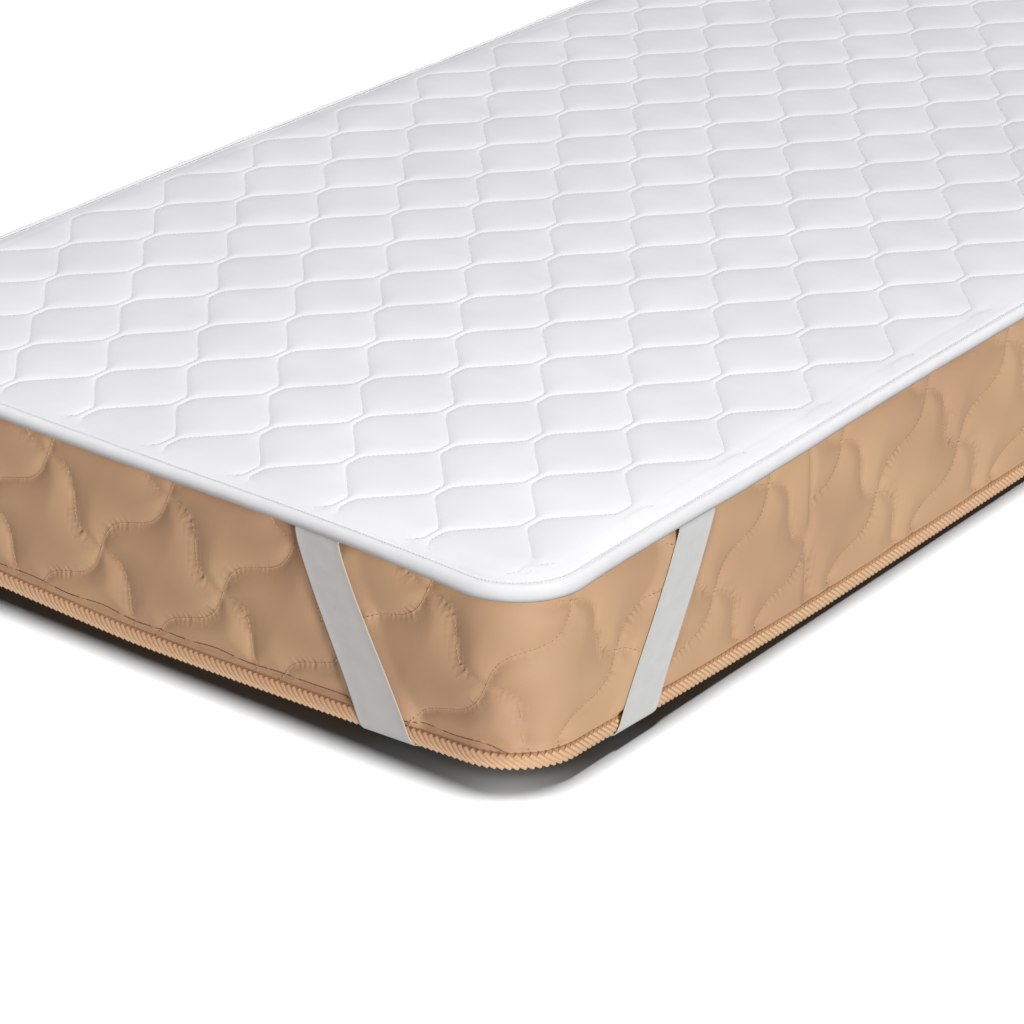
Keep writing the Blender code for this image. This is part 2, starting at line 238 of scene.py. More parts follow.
def outline(along):
    """The point of the outline at a distance along it, and the direction that leaves it squarely."""
    rest = (along + CORNER_ARC / 2) % PERIMETER
    for quarter, (sign_x, sign_y) in enumerate(CORNER_SIGNS):
        centre = Vector((sign_x * (HALF_WIDTH - CORNER_RADIUS), sign_y * (HALF_LENGTH - CORNER_RADIUS)))
        if rest <= CORNER_ARC:
            turn = math.radians(90 * quarter - 90) + rest / CORNER_RADIUS
            away = Vector((math.cos(turn), math.sin(turn)))
            return centre + away * CORNER_RADIUS, away
        rest -= CORNER_ARC
        side = SHORT_SIDE if quarter % 2 else LONG_SIDE
        if rest <= side:
            turn = math.radians(90 * quarter)
            away = Vector((math.cos(turn), math.sin(turn)))
            return centre + away * CORNER_RADIUS + Vector((-away.y, away.x)) * rest, away
        rest -= side
    return outline(0.0)


def interpolate(table, value):
    """Reads a table of (position, result) rows along straight lines between its rows."""
    if value <= table[0][0]:
        return table[0][1]
    for (start, low), (end, high) in zip(table, table[1:]):
        if value <= end:
            return low + (high - low) * (value - start) / (end - start)
    return table[-1][1]


def clamp(value):
    """The value, held between 0 and 1."""
    return max(0.0, min(1.0, value))


def bell(offset, width):
    """A soft bump: 1 where the offset is nothing, and almost 0 beyond twice the width."""
    return math.exp(-((offset / width) ** 2))


def stations_round(count):
    """Places at even steps round the outline. The first and the last are the same point."""
    return [PERIMETER * step / count for step in range(count + 1)]


print("once round the mattress:", round(PERIMETER, 3), "m")

# %% [markdown]
# The two elastics at each corner pull its bottom edge up by some millimetres. The pull fades along the edge
# and towards the top. Everything low on the mattress is lifted by the same function, so nothing parts.

# %% How the corners are lifted
LIFT, LIFT_REACH, LIFT_CURVE = 17 * MM, 450 * MM, 1.3


def corner_lift(x, y, height):
    """How far the elastics lift a place of the mattress."""
    from_corner = HALF_WIDTH - abs(x) + HALF_LENGTH - abs(y)
    pull = max(0.0, 1.0 - from_corner / LIFT_REACH) ** LIFT_CURVE
    return LIFT * pull * (1.0 - height / HEIGHT)


def lifted_point(along, out, height):
    """A point beyond the outline at a height, lifted as the whole bottom edge is."""
    corner_point, away = outline(along)
    x, y = corner_point + away * out
    return Vector((x, y, height + corner_lift(x, y, height)))


print("the corners stand", round(corner_lift(HALF_WIDTH, HALF_LENGTH, 0) / MM), "mm above the floor")

# %% [markdown]
# ## Meshes made of rows of points
#
# Cloth that follows a path is easiest to make as a grid: one row of points across it, repeated along the
# way. The same function makes a ribbon, a ring and a tube, which differ only in whether the grid's ends
# meet. It also writes the two lengths into a UV map, in metres, so that a weave can follow the cloth.

# %% A grid of points as a mesh
LAMPS_OF_SLOT = {"topper_fabric": "panel", "binding_tape": "rim"}  # all else is lit as the side is


def link_mesh(name, mesh):
    """Puts a mesh into the scene as a smooth object at the origin."""
    mesh.shade_smooth()
    made = bpy.data.objects.new(name, mesh)
    bpy.context.scene.collection.objects.link(made)
    return made


def woven_mesh(name, rows, lengths, widths, ring=False, tube=False):
    """A mesh of rows of points, with a UV map called cloth. A ring's rows meet, as a tube's columns do."""
    row_count, columns = len(rows), len(rows[0])
    faces, places = [], []
    for row in range(row_count if ring else row_count - 1):
        for column in range(columns if tube else columns - 1):
            corners = ((row, column), (row + 1, column), (row + 1, column + 1), (row, column + 1))
            faces.append([(i % row_count) * columns + j % columns for i, j in corners])
            places += [(lengths[i], widths[j]) for i, j in corners]
    mesh = bpy.data.meshes.new(name)
    mesh.from_pydata([point for points in rows for point in points], [], faces)
    cloth = mesh.uv_layers.new(name="cloth")
    cloth.data.foreach_set("uv", [value for place in places for value in place])
    return link_mesh(name, mesh)


def close_mesh(piece, cap=None):
    """Lets `cap` close what is open, makes every face point outwards, and smooths the piece."""
    bm = bmesh.new()
    bm.from_mesh(piece.data)
    if cap:
        cap(bm, [edge for edge in bm.edges if edge.is_boundary])
    bmesh.ops.recalc_face_normals(bm, faces=bm.faces)
    bm.to_mesh(piece.data)
    bm.free()
    piece.data.shade_smooth()


def write_attribute(piece, name, values):
    """Stores a number or a vector on each point of a piece."""
    is_vector = hasattr(values[0], "__len__")
    layer = piece.data.attributes.new(name, "FLOAT_VECTOR" if is_vector else "FLOAT", "POINT")
    flat = [part for value in values for part in value] if is_vector else values
    layer.data.foreach_set("vector" if is_vector else "value", flat)


def dress(piece, material, slot, *nodes):
    """Gives a piece its material, its lamps and its place in the frame."""
    piece.data.materials.clear()
    piece.data.materials.append(material)
    for receivers in lit_by[LAMPS_OF_SLOT.get(slot, "side")]:
        receivers.objects.link(piece)
    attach(piece, "root")
    if nodes:
        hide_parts(*nodes)
    triangles = sum(len(face.vertices) - 2 for face in piece.data.polygons)
    print(f"{piece.name}: {triangles} triangles")


print("mesh helpers are ready")

# %% [markdown]
# ## The quilting's sewn lines
#
# The topper is quilted on a machine with many needles in a row. Every needle draws one wavy line along the
# bed, and neighbouring lines swing against each other, so that they meet in short pinches and part again
# round cells like long honeycombs. The whole pattern is therefore one line, shifted and mirrored.

# %% Where the sewn lines run
CELL_HALF_WIDTH = 50 * MM
CELL_LENGTH = 139.8 * MM
PINCH_GAP = 7 * MM  # between two lines where they meet
PINCH_SHARE = 0.145  # of a cell's length, that a pinch takes
STEADY_BEND = 0.1  # 0 would leave a line straight between two pinches
LAST_PINCH_X = HALF_WIDTH - 29.4 * MM
FIRST_PINCH_Y = -HALF_LENGTH + 36 * MM
GRID_LINES = range(-17, 0)  # counted from the right; the mesh follows these
SEWN_LINES = range(-19, 2)  # and these are sewn, where they run on the topper


def sewn_line(number, y):
    """Where a sewn line runs at y, on a soft wave between the pinches on its two sides."""
    phase = ((y - FIRST_PINCH_Y) / CELL_LENGTH - 0.5 * (number % 2)) % 1.0
    swing = max(-1.0, min(1.0, (0.25 - abs(phase - 0.5)) / (0.25 - PINCH_SHARE / 2)))
    swing *= 1 + STEADY_BEND * (1 - swing * swing)
    middle = LAST_PINCH_X + (number + 0.5) * CELL_HALF_WIDTH
    return middle + swing * (CELL_HALF_WIDTH - PINCH_GAP) / 2


def to_sewn_line(x, y):
    """Distance from a point of the topper to the nearest sewn line, measured squarely to the line."""
    step = 1 * MM
    guess = math.floor((x - LAST_PINCH_X) / CELL_HALF_WIDTH)
    distances = []
    for number in (guess - 1, guess, guess + 1):
        here = sewn_line(number, y)
        slope = (sewn_line(number, y + step) - sewn_line(number, y - step)) / (2 * step)
        distances.append(abs(x - here) / math.hypot(1.0, slope))
    return min(distances)


print("the widest cell is", round((2 * CELL_HALF_WIDTH - PINCH_GAP) / MM), "mm across")

# %% [markdown]
# ## The topper's rim
#
# The panel lies flat on the mattress, and its rim hangs a few millimetres over the edge. It hangs lowest at
# the corners, where the elastics pull, and it sags a little between them. Its binding follows the same
# fall, so both read it from one function.

# %% The fall of the rim
SEWN_THICKNESS = 6.6 * MM
EDGE_THICKNESS = 3.6 * MM
REST_GAP = 0.3 * MM  # between the topper and the mattress
PANEL_OVERHANG = 4 * MM
RIM_FALL = ((-20 * MM, 0.0), (-8 * MM, 0.28), (4 * MM, 1.0), (8 * MM, 1.3))  # beyond the side, and share
SIDE_FALL, CORNER_FALL, FALL_RAMP = 3.6 * MM, 10.5 * MM, 260 * MM
RIM_SAG, SAG_WAVE = 0.8 * MM, 640 * MM
PULLED_FALL = 3.6 * MM  # more, where the elastic draws the right side's rim down
PULLED_MIDDLE, PULLED_REACH = 290 * MM, 150 * MM  # from the near corner


def beyond_corner_centre(x, y):
    """How far a point lies past the centre of its corner's arc, across and along."""
    return abs(x) - HALF_WIDTH + CORNER_RADIUS, abs(y) - HALF_LENGTH + CORNER_RADIUS


def edge_offset(x, y):
    """Distance beyond the mattress's rounded outline, negative inside it."""
    across, along = beyond_corner_centre(x, y)
    outside = math.hypot(max(across, 0.0), max(along, 0.0))
    return outside + min(max(across, along), 0.0) - CORNER_RADIUS


def outward(x, y):
    """The direction that leaves the outline squarely at the point's side or corner."""
    across, along = beyond_corner_centre(x, y)
    if across > 0 and along > 0:
        away = Vector((across, along)).normalized()
    else:
        away = Vector((1.0, 0.0)) if across > along else Vector((0.0, 1.0))
    return Vector((math.copysign(away.x, x), math.copysign(away.y, y)))


def rim_height(x, y, out):
    """Height of the middle of the panel's thickness, `out` beyond the mattress's side."""
    across, along = beyond_corner_centre(x, y)
    from_corner = max(0.0, -across) + max(0.0, -along)
    pull = max(0.0, 1.0 - from_corner / FALL_RAMP) ** 2
    wave = 2 * math.pi / SAG_WAVE
    fall = SIDE_FALL + (CORNER_FALL - SIDE_FALL) * pull
    fall += RIM_SAG * (math.cos(wave * x) + math.cos(wave * y))
    if x > HALF_WIDTH - CORNER_RADIUS:
        fall += PULLED_FALL * bell(y + HALF_LENGTH - PULLED_MIDDLE, PULLED_REACH)
    return HEIGHT + REST_GAP + SEWN_THICKNESS / 2 - fall * interpolate(RIM_FALL, out)


print("the rim's middle is at", round(rim_height(HALF_WIDTH, 0, 0) / MM, 1), "mm")

# %% [markdown]
# ## The quilted panel, before it swells
#
# A quilt's relief is sharp at its stitches and soft everywhere else. A plain grid would cut across the
# stitches and make them ragged. So the grid's columns follow the sewn lines here, and crowd together beside
# them. The mesh starts flat, and stores how far each point is from its nearest line: swelling comes next.

# %% The panel's grid
RIM_STATIONS = (-20, -15, -11, -8, -6, -4.4, -2.8, 0, 4)  # mm beyond the side
CELL_STATIONS = (0, 0.012, 0.032, 0.07, 0.16, 0.38, 0.62, 0.84, 0.93, 0.968, 0.988)
QUILT_ROWS = 420
FADE_AT_SIDES, FADE_AT_ENDS = 42 * MM, 26 * MM  # the relief flattens over this distance to the binding
BINDING_INSIDE = 6 * MM
GROOVE_DEPTH, GROOVE_INSIDE, GROOVE_WIDTH = 1.1 * MM, 4.4 * MM, 1.6 * MM  # beside the binding's seam
CREASE_DEPTH, CREASE_INSIDE, CREASE_WIDTH = 1.3 * MM, 23 * MM, 4 * MM  # along the two long sides
CREASE_STRAYS, CREASE_PATCHES, CREASE_SHOWS = 6, 4, 0.3  # two waves in a metre, and how much of it is seen
WRINKLE_DEPTH, WRINKLE_INSIDE, WRINKLE_REACH = 0.5 * MM, 11 * MM, 6 * MM
WRINKLES = 70  # in a metre


def round_corner(x, y):
    """Bends the square corner of a grid into the mattress's round one."""
    across, along = beyond_corner_centre(x, y)
    if min(across, along) <= 0:
        return x, y
    reach = max(across, along)
    turn = math.pi / 4 * min(across, along) / reach
    long_way, short_way = reach * math.cos(turn), reach * math.sin(turn)
    new_across, new_along = (long_way, short_way) if across >= along else (short_way, long_way)
    new_x = HALF_WIDTH - CORNER_RADIUS + new_across
    new_y = HALF_LENGTH - CORNER_RADIUS + new_along
    return math.copysign(new_x, x), math.copysign(new_y, y)


def column_places(y):
    """The x of every mesh column at y: the left rim's, those of the cells between lines, the right rim's."""
    right_rim = [HALF_WIDTH + out * MM for out in RIM_STATIONS]
    lines = [-right_rim[0], *[sewn_line(number, y) for number in GRID_LINES], right_rim[0]]
    cells = [a + (b - a) * share for a, b in zip(lines, lines[1:]) for share in CELL_STATIONS]
    return [-x for x in reversed(right_rim[1:])] + cells + right_rim


def relief_fade(x, y):
    """How much of the relief is left near the binding: 1 well inside, 0 under it."""
    side = clamp((HALF_WIDTH - abs(x) - BINDING_INSIDE) / FADE_AT_SIDES)
    end = clamp((HALF_LENGTH - abs(y) - BINDING_INSIDE) / FADE_AT_ENDS)
    inside = clamp((-edge_offset(x, y) - BINDING_INSIDE) / FADE_AT_ENDS)
    return side * (2 - side) * end * (2 - end) * inside * (2 - inside)


def panel_top(x, y):
    """Height of the panel's upper face before the quilting swells."""
    out = edge_offset(x, y)
    thickness = SEWN_THICKNESS - (SEWN_THICKNESS - EDGE_THICKNESS) * clamp(out / PANEL_OVERHANG)
    crease = 0.0
    if abs(x) >= HALF_WIDTH - CORNER_RADIUS:
        stray = CREASE_WIDTH * noise.noise((0, y * CREASE_STRAYS, 0))
        crease = bell(out + CREASE_INSIDE + stray, CREASE_WIDTH)
    patchy = max(0.0, noise.noise((0, y * CREASE_PATCHES, 7)) + CREASE_SHOWS)
    wrinkle = WRINKLE_DEPTH * noise.noise((x * WRINKLES, y * WRINKLES, 2))
    wrinkle *= math.exp(-abs(out + WRINKLE_INSIDE) / WRINKLE_REACH)
    groove = GROOVE_DEPTH * bell(out + GROOVE_INSIDE, GROOVE_WIDTH)
    return rim_height(x, y, out) + thickness / 2 - CREASE_DEPTH * crease * patchy + wrinkle - groove


first_y = -HALF_LENGTH - RIM_STATIONS[0] * MM
row_places = [-HALF_LENGTH - out * MM for out in reversed(RIM_STATIONS[1:])]
row_places += [first_y - 2 * first_y * row / QUILT_ROWS for row in range(QUILT_ROWS + 1)]
row_places += [HALF_LENGTH + out * MM for out in RIM_STATIONS[1:]]
panel_rows = []
for y in row_places:
    places = [round_corner(x, y) for x in column_places(max(first_y, min(-first_y, y)))]
    panel_rows.append([Vector((px, py, panel_top(px, py))) for px, py in places])
panel = woven_mesh("quilted_panel", panel_rows, row_places, column_places(0.0))
top_count = len(panel.data.vertices)
print("points on the panel's top:", top_count)

# %% [markdown]
# The panel needs an underside too, because it is a piece of its own that could be lifted off. Its open rim
# is pulled down to its lower edge and then inwards, and one flat face closes what rests on the mattress.

# %% Close the panel
UNDERSIDE_STATIONS = (PANEL_OVERHANG, -8 * MM, -20 * MM)  # beyond the side
FACE_ORDER_STEP = 1e6  # more than the corners of a small face add up to


def place(vert, out, height):
    """Moves a vertex squarely to the outline, to `out` beyond the side, at a height."""
    x, y, _ = vert.co
    shift = outward(x, y) * (out - edge_offset(x, y))
    vert.co = Vector((x + shift.x, y + shift.y, height))


def turn_under(bm, edges):
    """Carries the open rim down and in below the panel, and closes the rest with one face."""
    for out in UNDERSIDE_STATIONS:
        made = bmesh.ops.extrude_edge_only(bm, edges=edges)["geom"]
        edges = [item for item in made if isinstance(item, bmesh.types.BMEdge)]
        half = (EDGE_THICKNESS if out > 0 else SEWN_THICKNESS) / 2
        for vert in {vert for edge in edges for vert in edge.verts}:
            place(vert, out, rim_height(vert.co.x, vert.co.y, out) - half)
    bmesh.ops.contextual_create(bm, geom=edges)
    bm.verts.index_update()
    bm.faces.sort(key=face_order)


def face_order(face):
    """A number that puts a mesh's faces in the same order on each run, by the corners made last."""
    corners = [vert.index for vert in face.verts]
    return max(corners) * FACE_ORDER_STEP + sum(corners)


close_mesh(panel, turn_under)
seam_distance, rise = [], []
for vert in panel.data.vertices:
    x, y, _ = vert.co
    on_top = vert.index < top_count
    seam_distance.append(to_sewn_line(x, y) if on_top else 0.0)
    rise.append((0.0, 0.0, relief_fade(x, y) if on_top else 0.0))
write_attribute(panel, "to_seam", seam_distance)
write_attribute(panel, "rise", rise)
print("closed panel:", len(panel.data.polygons), "faces")

# %% [markdown]
# ## Swelling between stitches
#
# Filling pushes quilted cloth up as far as its stitches let it: steeply beside a stitch, then less and
# less, towards a soft flat crown. An exponential curve does exactly that. Two of them are added: a wide
# one for the pillow, and a narrow one for the lip of cloth right beside the thread. The same rule holds for
# the topper and for the mattress's side, so it is one Geometry Nodes tree with the sizes as its inputs. It
# reads the two stored attributes: how far the nearest seam is, and which way the cloth may rise.

# %% The swelling tree
def new_tree(name, *sizes):
    """A Geometry Nodes tree from geometry to geometry, with named inputs for its sizes and material."""
    tree = bpy.data.node_groups.new(name, "GeometryNodeTree")
    kinds = {"Geometry": "Geometry", "Material": "Material", "Bends": "Int", "Sides": "Int"}
    for label in ("Geometry", *sizes, "Material"):
        kind = "NodeSocket" + kinds.get(label, "Float")
        tree.interface.new_socket(label, in_out="INPUT", socket_type=kind)
    tree.interface.new_socket("Geometry", in_out="OUTPUT", socket_type="NodeSocketGeometry")
    return tree, tree.nodes.new("NodeGroupInput").outputs


def close_tree(tree, geometry, material):
    """Ends a tree: its instances become real, and it gets its material."""
    real = add_node(tree, "GeometryNodeRealizeInstances", {"Geometry": geometry})
    painted = add_node(tree, "GeometryNodeSetMaterial", {"Geometry": real, "Material": material})
    add_node(tree, "NodeGroupOutput", {0: painted})


def bake_tree(piece, tree, material, sizes):
    """Runs a tree on a piece with these inputs, and keeps the result as the piece's plain mesh."""
    modifier = piece.modifiers.new(tree.name, "NODES")
    modifier.node_group = tree
    sockets = {item.name: item.identifier for item in tree.interface.items_tree if item.in_out == "INPUT"}
    for name, value in {**sizes, "Material": material}.items():
        modifier[sockets[name]] = value
    evaluated = piece.evaluated_get(bpy.context.evaluated_depsgraph_get())
    baked = bpy.data.meshes.new_from_object(evaluated)
    piece.modifiers.remove(modifier)
    piece.data = baked


swelling, given = new_tree("swelling", "Puff", "Softness", "Lip", "Lip softness", "Unevenness", "Lumps")
stored = add_node(swelling, "GeometryNodeInputNamedAttribute", {"Name": "to_seam"}, data_type="FLOAT")
way_up = add_node(swelling, "GeometryNodeInputNamedAttribute", {"Name": "rise"}, data_type="FLOAT_VECTOR")


def swell_over(softness):
    """1 - exp(-distance / softness): steep beside the seam, flat away from it."""
    ratio = add_node(swelling, "ShaderNodeMath", {0: stored, 1: softness}, operation="DIVIDE")
    minus = add_node(swelling, "ShaderNodeMath", {0: ratio, 1: -1.0}, operation="MULTIPLY")
    falling = add_node(swelling, "ShaderNodeMath", {0: minus}, operation="EXPONENT")
    return add_node(swelling, "ShaderNodeMath", {0: 1.0, 1: falling}, operation="SUBTRACT")


lumps = add_node(swelling, "ShaderNodeTexNoise", {"Scale": given["Lumps"], "Detail": 1.0})
centred = add_node(swelling, "ShaderNodeMath", {0: lumps, 1: -0.5}, operation="ADD")
uneven = {0: centred, 1: given["Unevenness"], 2: given["Puff"]}
full = add_node(swelling, "ShaderNodeMath", uneven, operation="MULTIPLY_ADD")
crowned = swell_over(given["Softness"])
pillow = add_node(swelling, "ShaderNodeMath", {0: full, 1: crowned}, operation="MULTIPLY")
with_lip = {0: given["Lip"], 1: swell_over(given["Lip softness"]), 2: pillow}
height = add_node(swelling, "ShaderNodeMath", with_lip, operation="MULTIPLY_ADD")
push = add_node(swelling, "ShaderNodeVectorMath", {0: way_up, "Scale": height}, operation="SCALE")
moved = add_node(swelling, "GeometryNodeSetPosition", {"Geometry": given["Geometry"], "Offset": push})
close_tree(swelling, moved, given["Material"])
print("swelling tree:", len(swelling.nodes), "nodes")

# %% [markdown]
# ## The topper's cloth
#
# The topper is covered in brushed polyester microfibre. Its threads are finer than a tenth of a
# millimetre, too fine to show, so what the eye gets is a matt white with a faint nap: light scatters from
# the fibres' tips, which is sheen, and the nap lies unevenly, which is a very weak wide noise. The threads
# are drawn about ten times too coarse, as a barely visible grain.

# %% Brushed microfibre
NAP_PATCHES = 9.0  # in a metre: one is about 110 mm wide
GRAIN = 700.0  # in a metre: the threads are drawn 1.4 mm apart
PANEL_SWELLING = {
    "Puff": 2.8 * MM, "Softness": 15 * MM, "Lip": 1.25 * MM, "Lip softness": 2.2 * MM,
    "Unevenness": 2.2 * MM, "Lumps": 11.0,
}

microfibre, tree, shader = new_material("brushed_polyester_microfibre", 0.82, 0.25)
where = add_node(tree, "ShaderNodeTexCoord").outputs["Object"]
uneven_colour(shader, where, NAP_PATCHES, 3.0, (0.3, "#EEEEF2"), (0.7, "#F6F6F9"))
grain = add_node(tree, "ShaderNodeTexNoise", {"Vector": where, "Scale": GRAIN, "Detail": 2.0})
relief = add_node(tree, "ShaderNodeBump", {"Height": grain, "Distance": 0.1 * MM, "Strength": 0.35})
feed(shader, {"Normal": relief})
bake_tree(panel, swelling, microfibre, PANEL_SWELLING)
dress(panel, microfibre, "topper_fabric", "topper_panel")
print("the panel's crowns reach", round(max(corner[2] for corner in panel.bound_box) / MM, 1), "mm")

# %% [markdown]
# ## The binding
#
# The panel's raw rim is closed by a cotton tape, folded round it and sewn through both layers. Sewing
# presses the tape's inner edge down, while the fold itself stays round over the filling, and it crumples
# slightly where the feed of the machine pulled one layer ahead of the other. A ring of sections round the
# outline gives that: one list holds the section, and a weak slanted noise crumples it.

# %% The binding's ring
BINDING_SECTION = (
    (-3.5, 3.5), (-3.3, 4.3), (-2.7, 4.6), (-2.0, 4.2), (-1.2, 4.6), (0.2, 5.3), (1.9, 5.5), (3.6, 5.0),
    (5.0, 3.8), (6.1, 2.0), (6.6, 0.0), (6.5, -2.6), (5.6, -4.8), (3.4, -5.5), (0, -5.5), (-4, -5.2),
    (-8.2, -4.9), (-8.3, -3.9), (-3, -4.3), (3.6, -3.0), (5.2, 0), (4.1, 2.4), (2.0, 3.7), (-1, 3.6),
)  # beyond the side and above the rim's middle, in mm, once round the folded tape
BINDING_SPACING = 3.2 * MM
CRUMPLE, CRUMPLE_SLANT = 0.8 * MM, 1.2  # its height, and how far it runs along for a step across
CRUMPLE_OUT = 0.5  # the share of it that goes outwards
FINE_SHARE = 0.6  # of the fine crumples, beside the wide ones
FINE_CRUMPLES, WIDE_CRUMPLES = (60, 0.12, 3), (16, 0.1, 9)  # in a metre, in a mm across, and where to start
SEAM_ACROSS, SEAM_CALM = -2.0, 4  # in mm: where it is stitched, and how far that keeps it flat


def binding_section(along):
    """One section of the binding, with the tape's crumples at that place."""
    corner_point, away = outline(along)
    points = []
    for across, up in BINDING_SECTION:
        slant = along + CRUMPLE_SLANT * across * MM
        fine, wide = [noise.noise((slant * n, across * m, z)) for n, m, z in (FINE_CRUMPLES, WIDE_CRUMPLES)]
        out = across * MM
        x, y = corner_point + away * out
        bulge = CRUMPLE * (FINE_SHARE * fine + wide) * min(1.0, abs(across - SEAM_ACROSS) / SEAM_CALM)
        height = rim_height(x, y, out) + up * MM + bulge
        points.append(Vector((x, y, height)) + Vector((*away, 0.0)) * bulge * CRUMPLE_OUT)
    return points


def lengths_along(points):
    """How far along a chain of points each of them lies."""
    marks = [0.0]
    for a, b in zip(points, points[1:]):
        marks.append(marks[-1] + (Vector(b) - Vector(a)).length)
    return marks


def round_section(section):
    """How far round a section, given in mm, each of its points lies, up to the first one again."""
    return lengths_along([Vector(point) * MM for point in (*section, section[0])])


stations = stations_round(round(PERIMETER / BINDING_SPACING))
girth = round_section(BINDING_SECTION)
sections = [binding_section(along) for along in stations[:-1]]
binding = woven_mesh("rim_binding", sections, stations, girth, ring=True, tube=True)
close_mesh(binding)
print("binding:", len(sections), "stations,", round(girth[-1] / MM), "mm round the tape")

# %% [markdown]
# The tape is plain cotton, a little smoother and brighter than the brushed panel. A plain weave is threads
# over and under each other, so two bands of waves at right angles draw it, one along the tape and one
# across. The real threads lie about 0.4 mm apart; they are drawn at 1.1 mm, so that a render can show them.

# %% Woven tape, for the binding and for the elastics
BANDS_AT_SCALE_ONE = 3.2  # that a wave texture draws in a metre
TAPE_THREADS = 900.0  # in a metre


def add_weave(shader, across_per_metre, along_per_metre, depth, strength):
    """Bumps a material with a plain weave that follows the piece's own UV map, in metres."""
    tree = shader.id_data
    cloth = add_node(tree, "ShaderNodeUVMap", uv_map="cloth")
    bands = []
    for per_metre, direction in ((along_per_metre, "X"), (across_per_metre, "Y")):
        sizes = {"Vector": cloth, "Scale": per_metre / BANDS_AT_SCALE_ONE, "Distortion": 0.4, "Detail": 1.0}
        band = add_node(tree, "ShaderNodeTexWave", sizes, bands_direction=direction)
        bands.append(band.outputs["Fac"])
    woven = add_node(tree, "ShaderNodeMath", {0: bands[0], 1: bands[1]}, operation="MULTIPLY")
    bump = add_node(tree, "ShaderNodeBump", {"Height": woven, "Distance": depth, "Strength": strength})
    feed(shader, {"Normal": bump})
    return cloth


cotton, tree, shader = new_material("plain_woven_cotton_tape", 0.7, 0.15)
feed(shader, {"Base Color": linear("#F8F8FA")})
add_weave(shader, TAPE_THREADS, TAPE_THREADS, 0.12 * MM, 0.4)
dress(binding, cotton, "binding_tape", "topper_binding")

# %% [markdown]
# ## The four elastics
#
# A flat elastic is sewn under the binding on both sides of each corner. It runs down the mattress at a
# slant, turns under the bottom edge and crosses the corner below. It is a stretched band, so it is straight
# between the edges that it passes, and as flat as a ribbon. Its two edge lines are given as rows of pairs,
# and a smooth curve is drawn through each.

# %% The way of an elastic
ELASTIC_WIDTH, ELASTIC_HALF = 45 * MM, 0.6 * MM  # its width and half its thickness
TAB = ((-6, -1, 3.4, 5.0), 6.7 * MM)  # beyond the side in mm, and how far under the rim's middle
ELASTIC_WAY = (
    (5.1, 168, 0.05), (5.3, 136, 0.22), (5.5, 100, 0.44), (5.5, 60, 0.69),
    (5.7, 30, 0.87), (6.0, 12, 0.97), (5.3, 6.6, 1.0), (3.2, 3.6, 1.02), (-1.5, 2.2, 1.06),
    (-7, -0.1, 1.11), (-12.5, -1, 1.19),
)  # beyond the side and height in mm, and the share of the way along the slant
ON_END = (200, 121, 249, 178)  # mm from the corner: outer edge up and down, inner edge up and down
ON_SIDE = (204, 118, 258, 176)
ELASTIC_SPACING = 4 * MM


def elastic_pair(widths, out, height, share, on_end):
    """The outer and the inner edge of an elastic where it is `out` beyond the mattress's side."""
    pair = []
    for up, low in (widths[:2], widths[2:]):
        from_corner = (up + (low - up) * share) * MM
        if on_end:
            point = Vector((HALF_WIDTH - from_corner, -HALF_LENGTH - out, 0.0))
        else:
            point = Vector((HALF_WIDTH + out, -HALF_LENGTH + from_corner, 0.0))
        point.z = rim_height(point.x, point.y, out) - TAB[1] if height is None else height
        point.z += corner_lift(*point)
        pair.append(point)
    return pair


def smooth_rows(rows, spacing):
    """Rows about `spacing` apart on smooth curves through the given rows of points."""
    marks = lengths_along([sum(row, Vector()) / len(row) for row in rows])
    made = []
    for i in range(len(rows) - 1):
        before, after = max(i - 1, 0), min(i + 2, len(rows) - 1)
        span = marks[i + 1] - marks[i]
        steps = max(1, round(span / spacing))
        for step in range(steps + (i == len(rows) - 2)):
            t = step / steps
            row = []
            for p, a, b, q in zip(rows[before], rows[i], rows[i + 1], rows[after]):
                start = (b - p) * span / (marks[i + 1] - marks[before])
                end = (q - a) * span / (marks[after] - marks[i])
                row.append(
                    a * (2 * t**3 - 3 * t**2 + 1) + start * (t**3 - 2 * t**2 + t)
                    + b * (3 * t**2 - 2 * t**3) + end * (t**3 - t**2)
                )
            made.append(row)
    return made


def elastic_rows():
    """The edge pairs of the elastic at the near corner, from the foot end round to the right side."""
    tab = [(out * MM, None, 0.0) for out in TAB[0]]
    way = tab + [(out * MM, height * MM, share) for out, height, share in ELASTIC_WAY]
    down_end = [elastic_pair(ON_END, *step, True) for step in way]
    up_side = [elastic_pair(ON_SIDE, *step, False) for step in reversed(way)]
    return smooth_rows(down_end + up_side, ELASTIC_SPACING)


near_rows = elastic_rows()
elastic_marks = lengths_along([(a + b) / 2 for a, b in near_rows])
print("an elastic is", round(elastic_marks[-1] / MM), "mm long between its seams")

# %% [markdown]
# The band has a real thickness, and its two selvedges, where the weft turns round, are thicker and paler
# than its middle. One section across the band carries that. The three other corners mirror the first.

# %% Make the elastics
ELASTIC_SECTION = (
    (0.0, 0.2), (0.008, 0.7), (0.028, 1.0), (0.045, 0.8), (0.2, 0.8), (0.5, 0.8), (0.8, 0.8), (0.955, 0.8),
    (0.972, 1.0), (0.992, 0.7), (1.0, 0.2),
)  # share of the band's width, and thickness as a share of the nominal one
SELVEDGE = (21.0 * MM, 21.6 * MM)  # from the band's middle, where it begins and where it is full
ELASTIC_THREADS = (520.0, 700.0)  # in a metre, across and along: drawn 1.9 and 1.4 mm apart to show
ELASTIC_STREAKS = 60.0  # in a metre: a streak is 17 mm wide


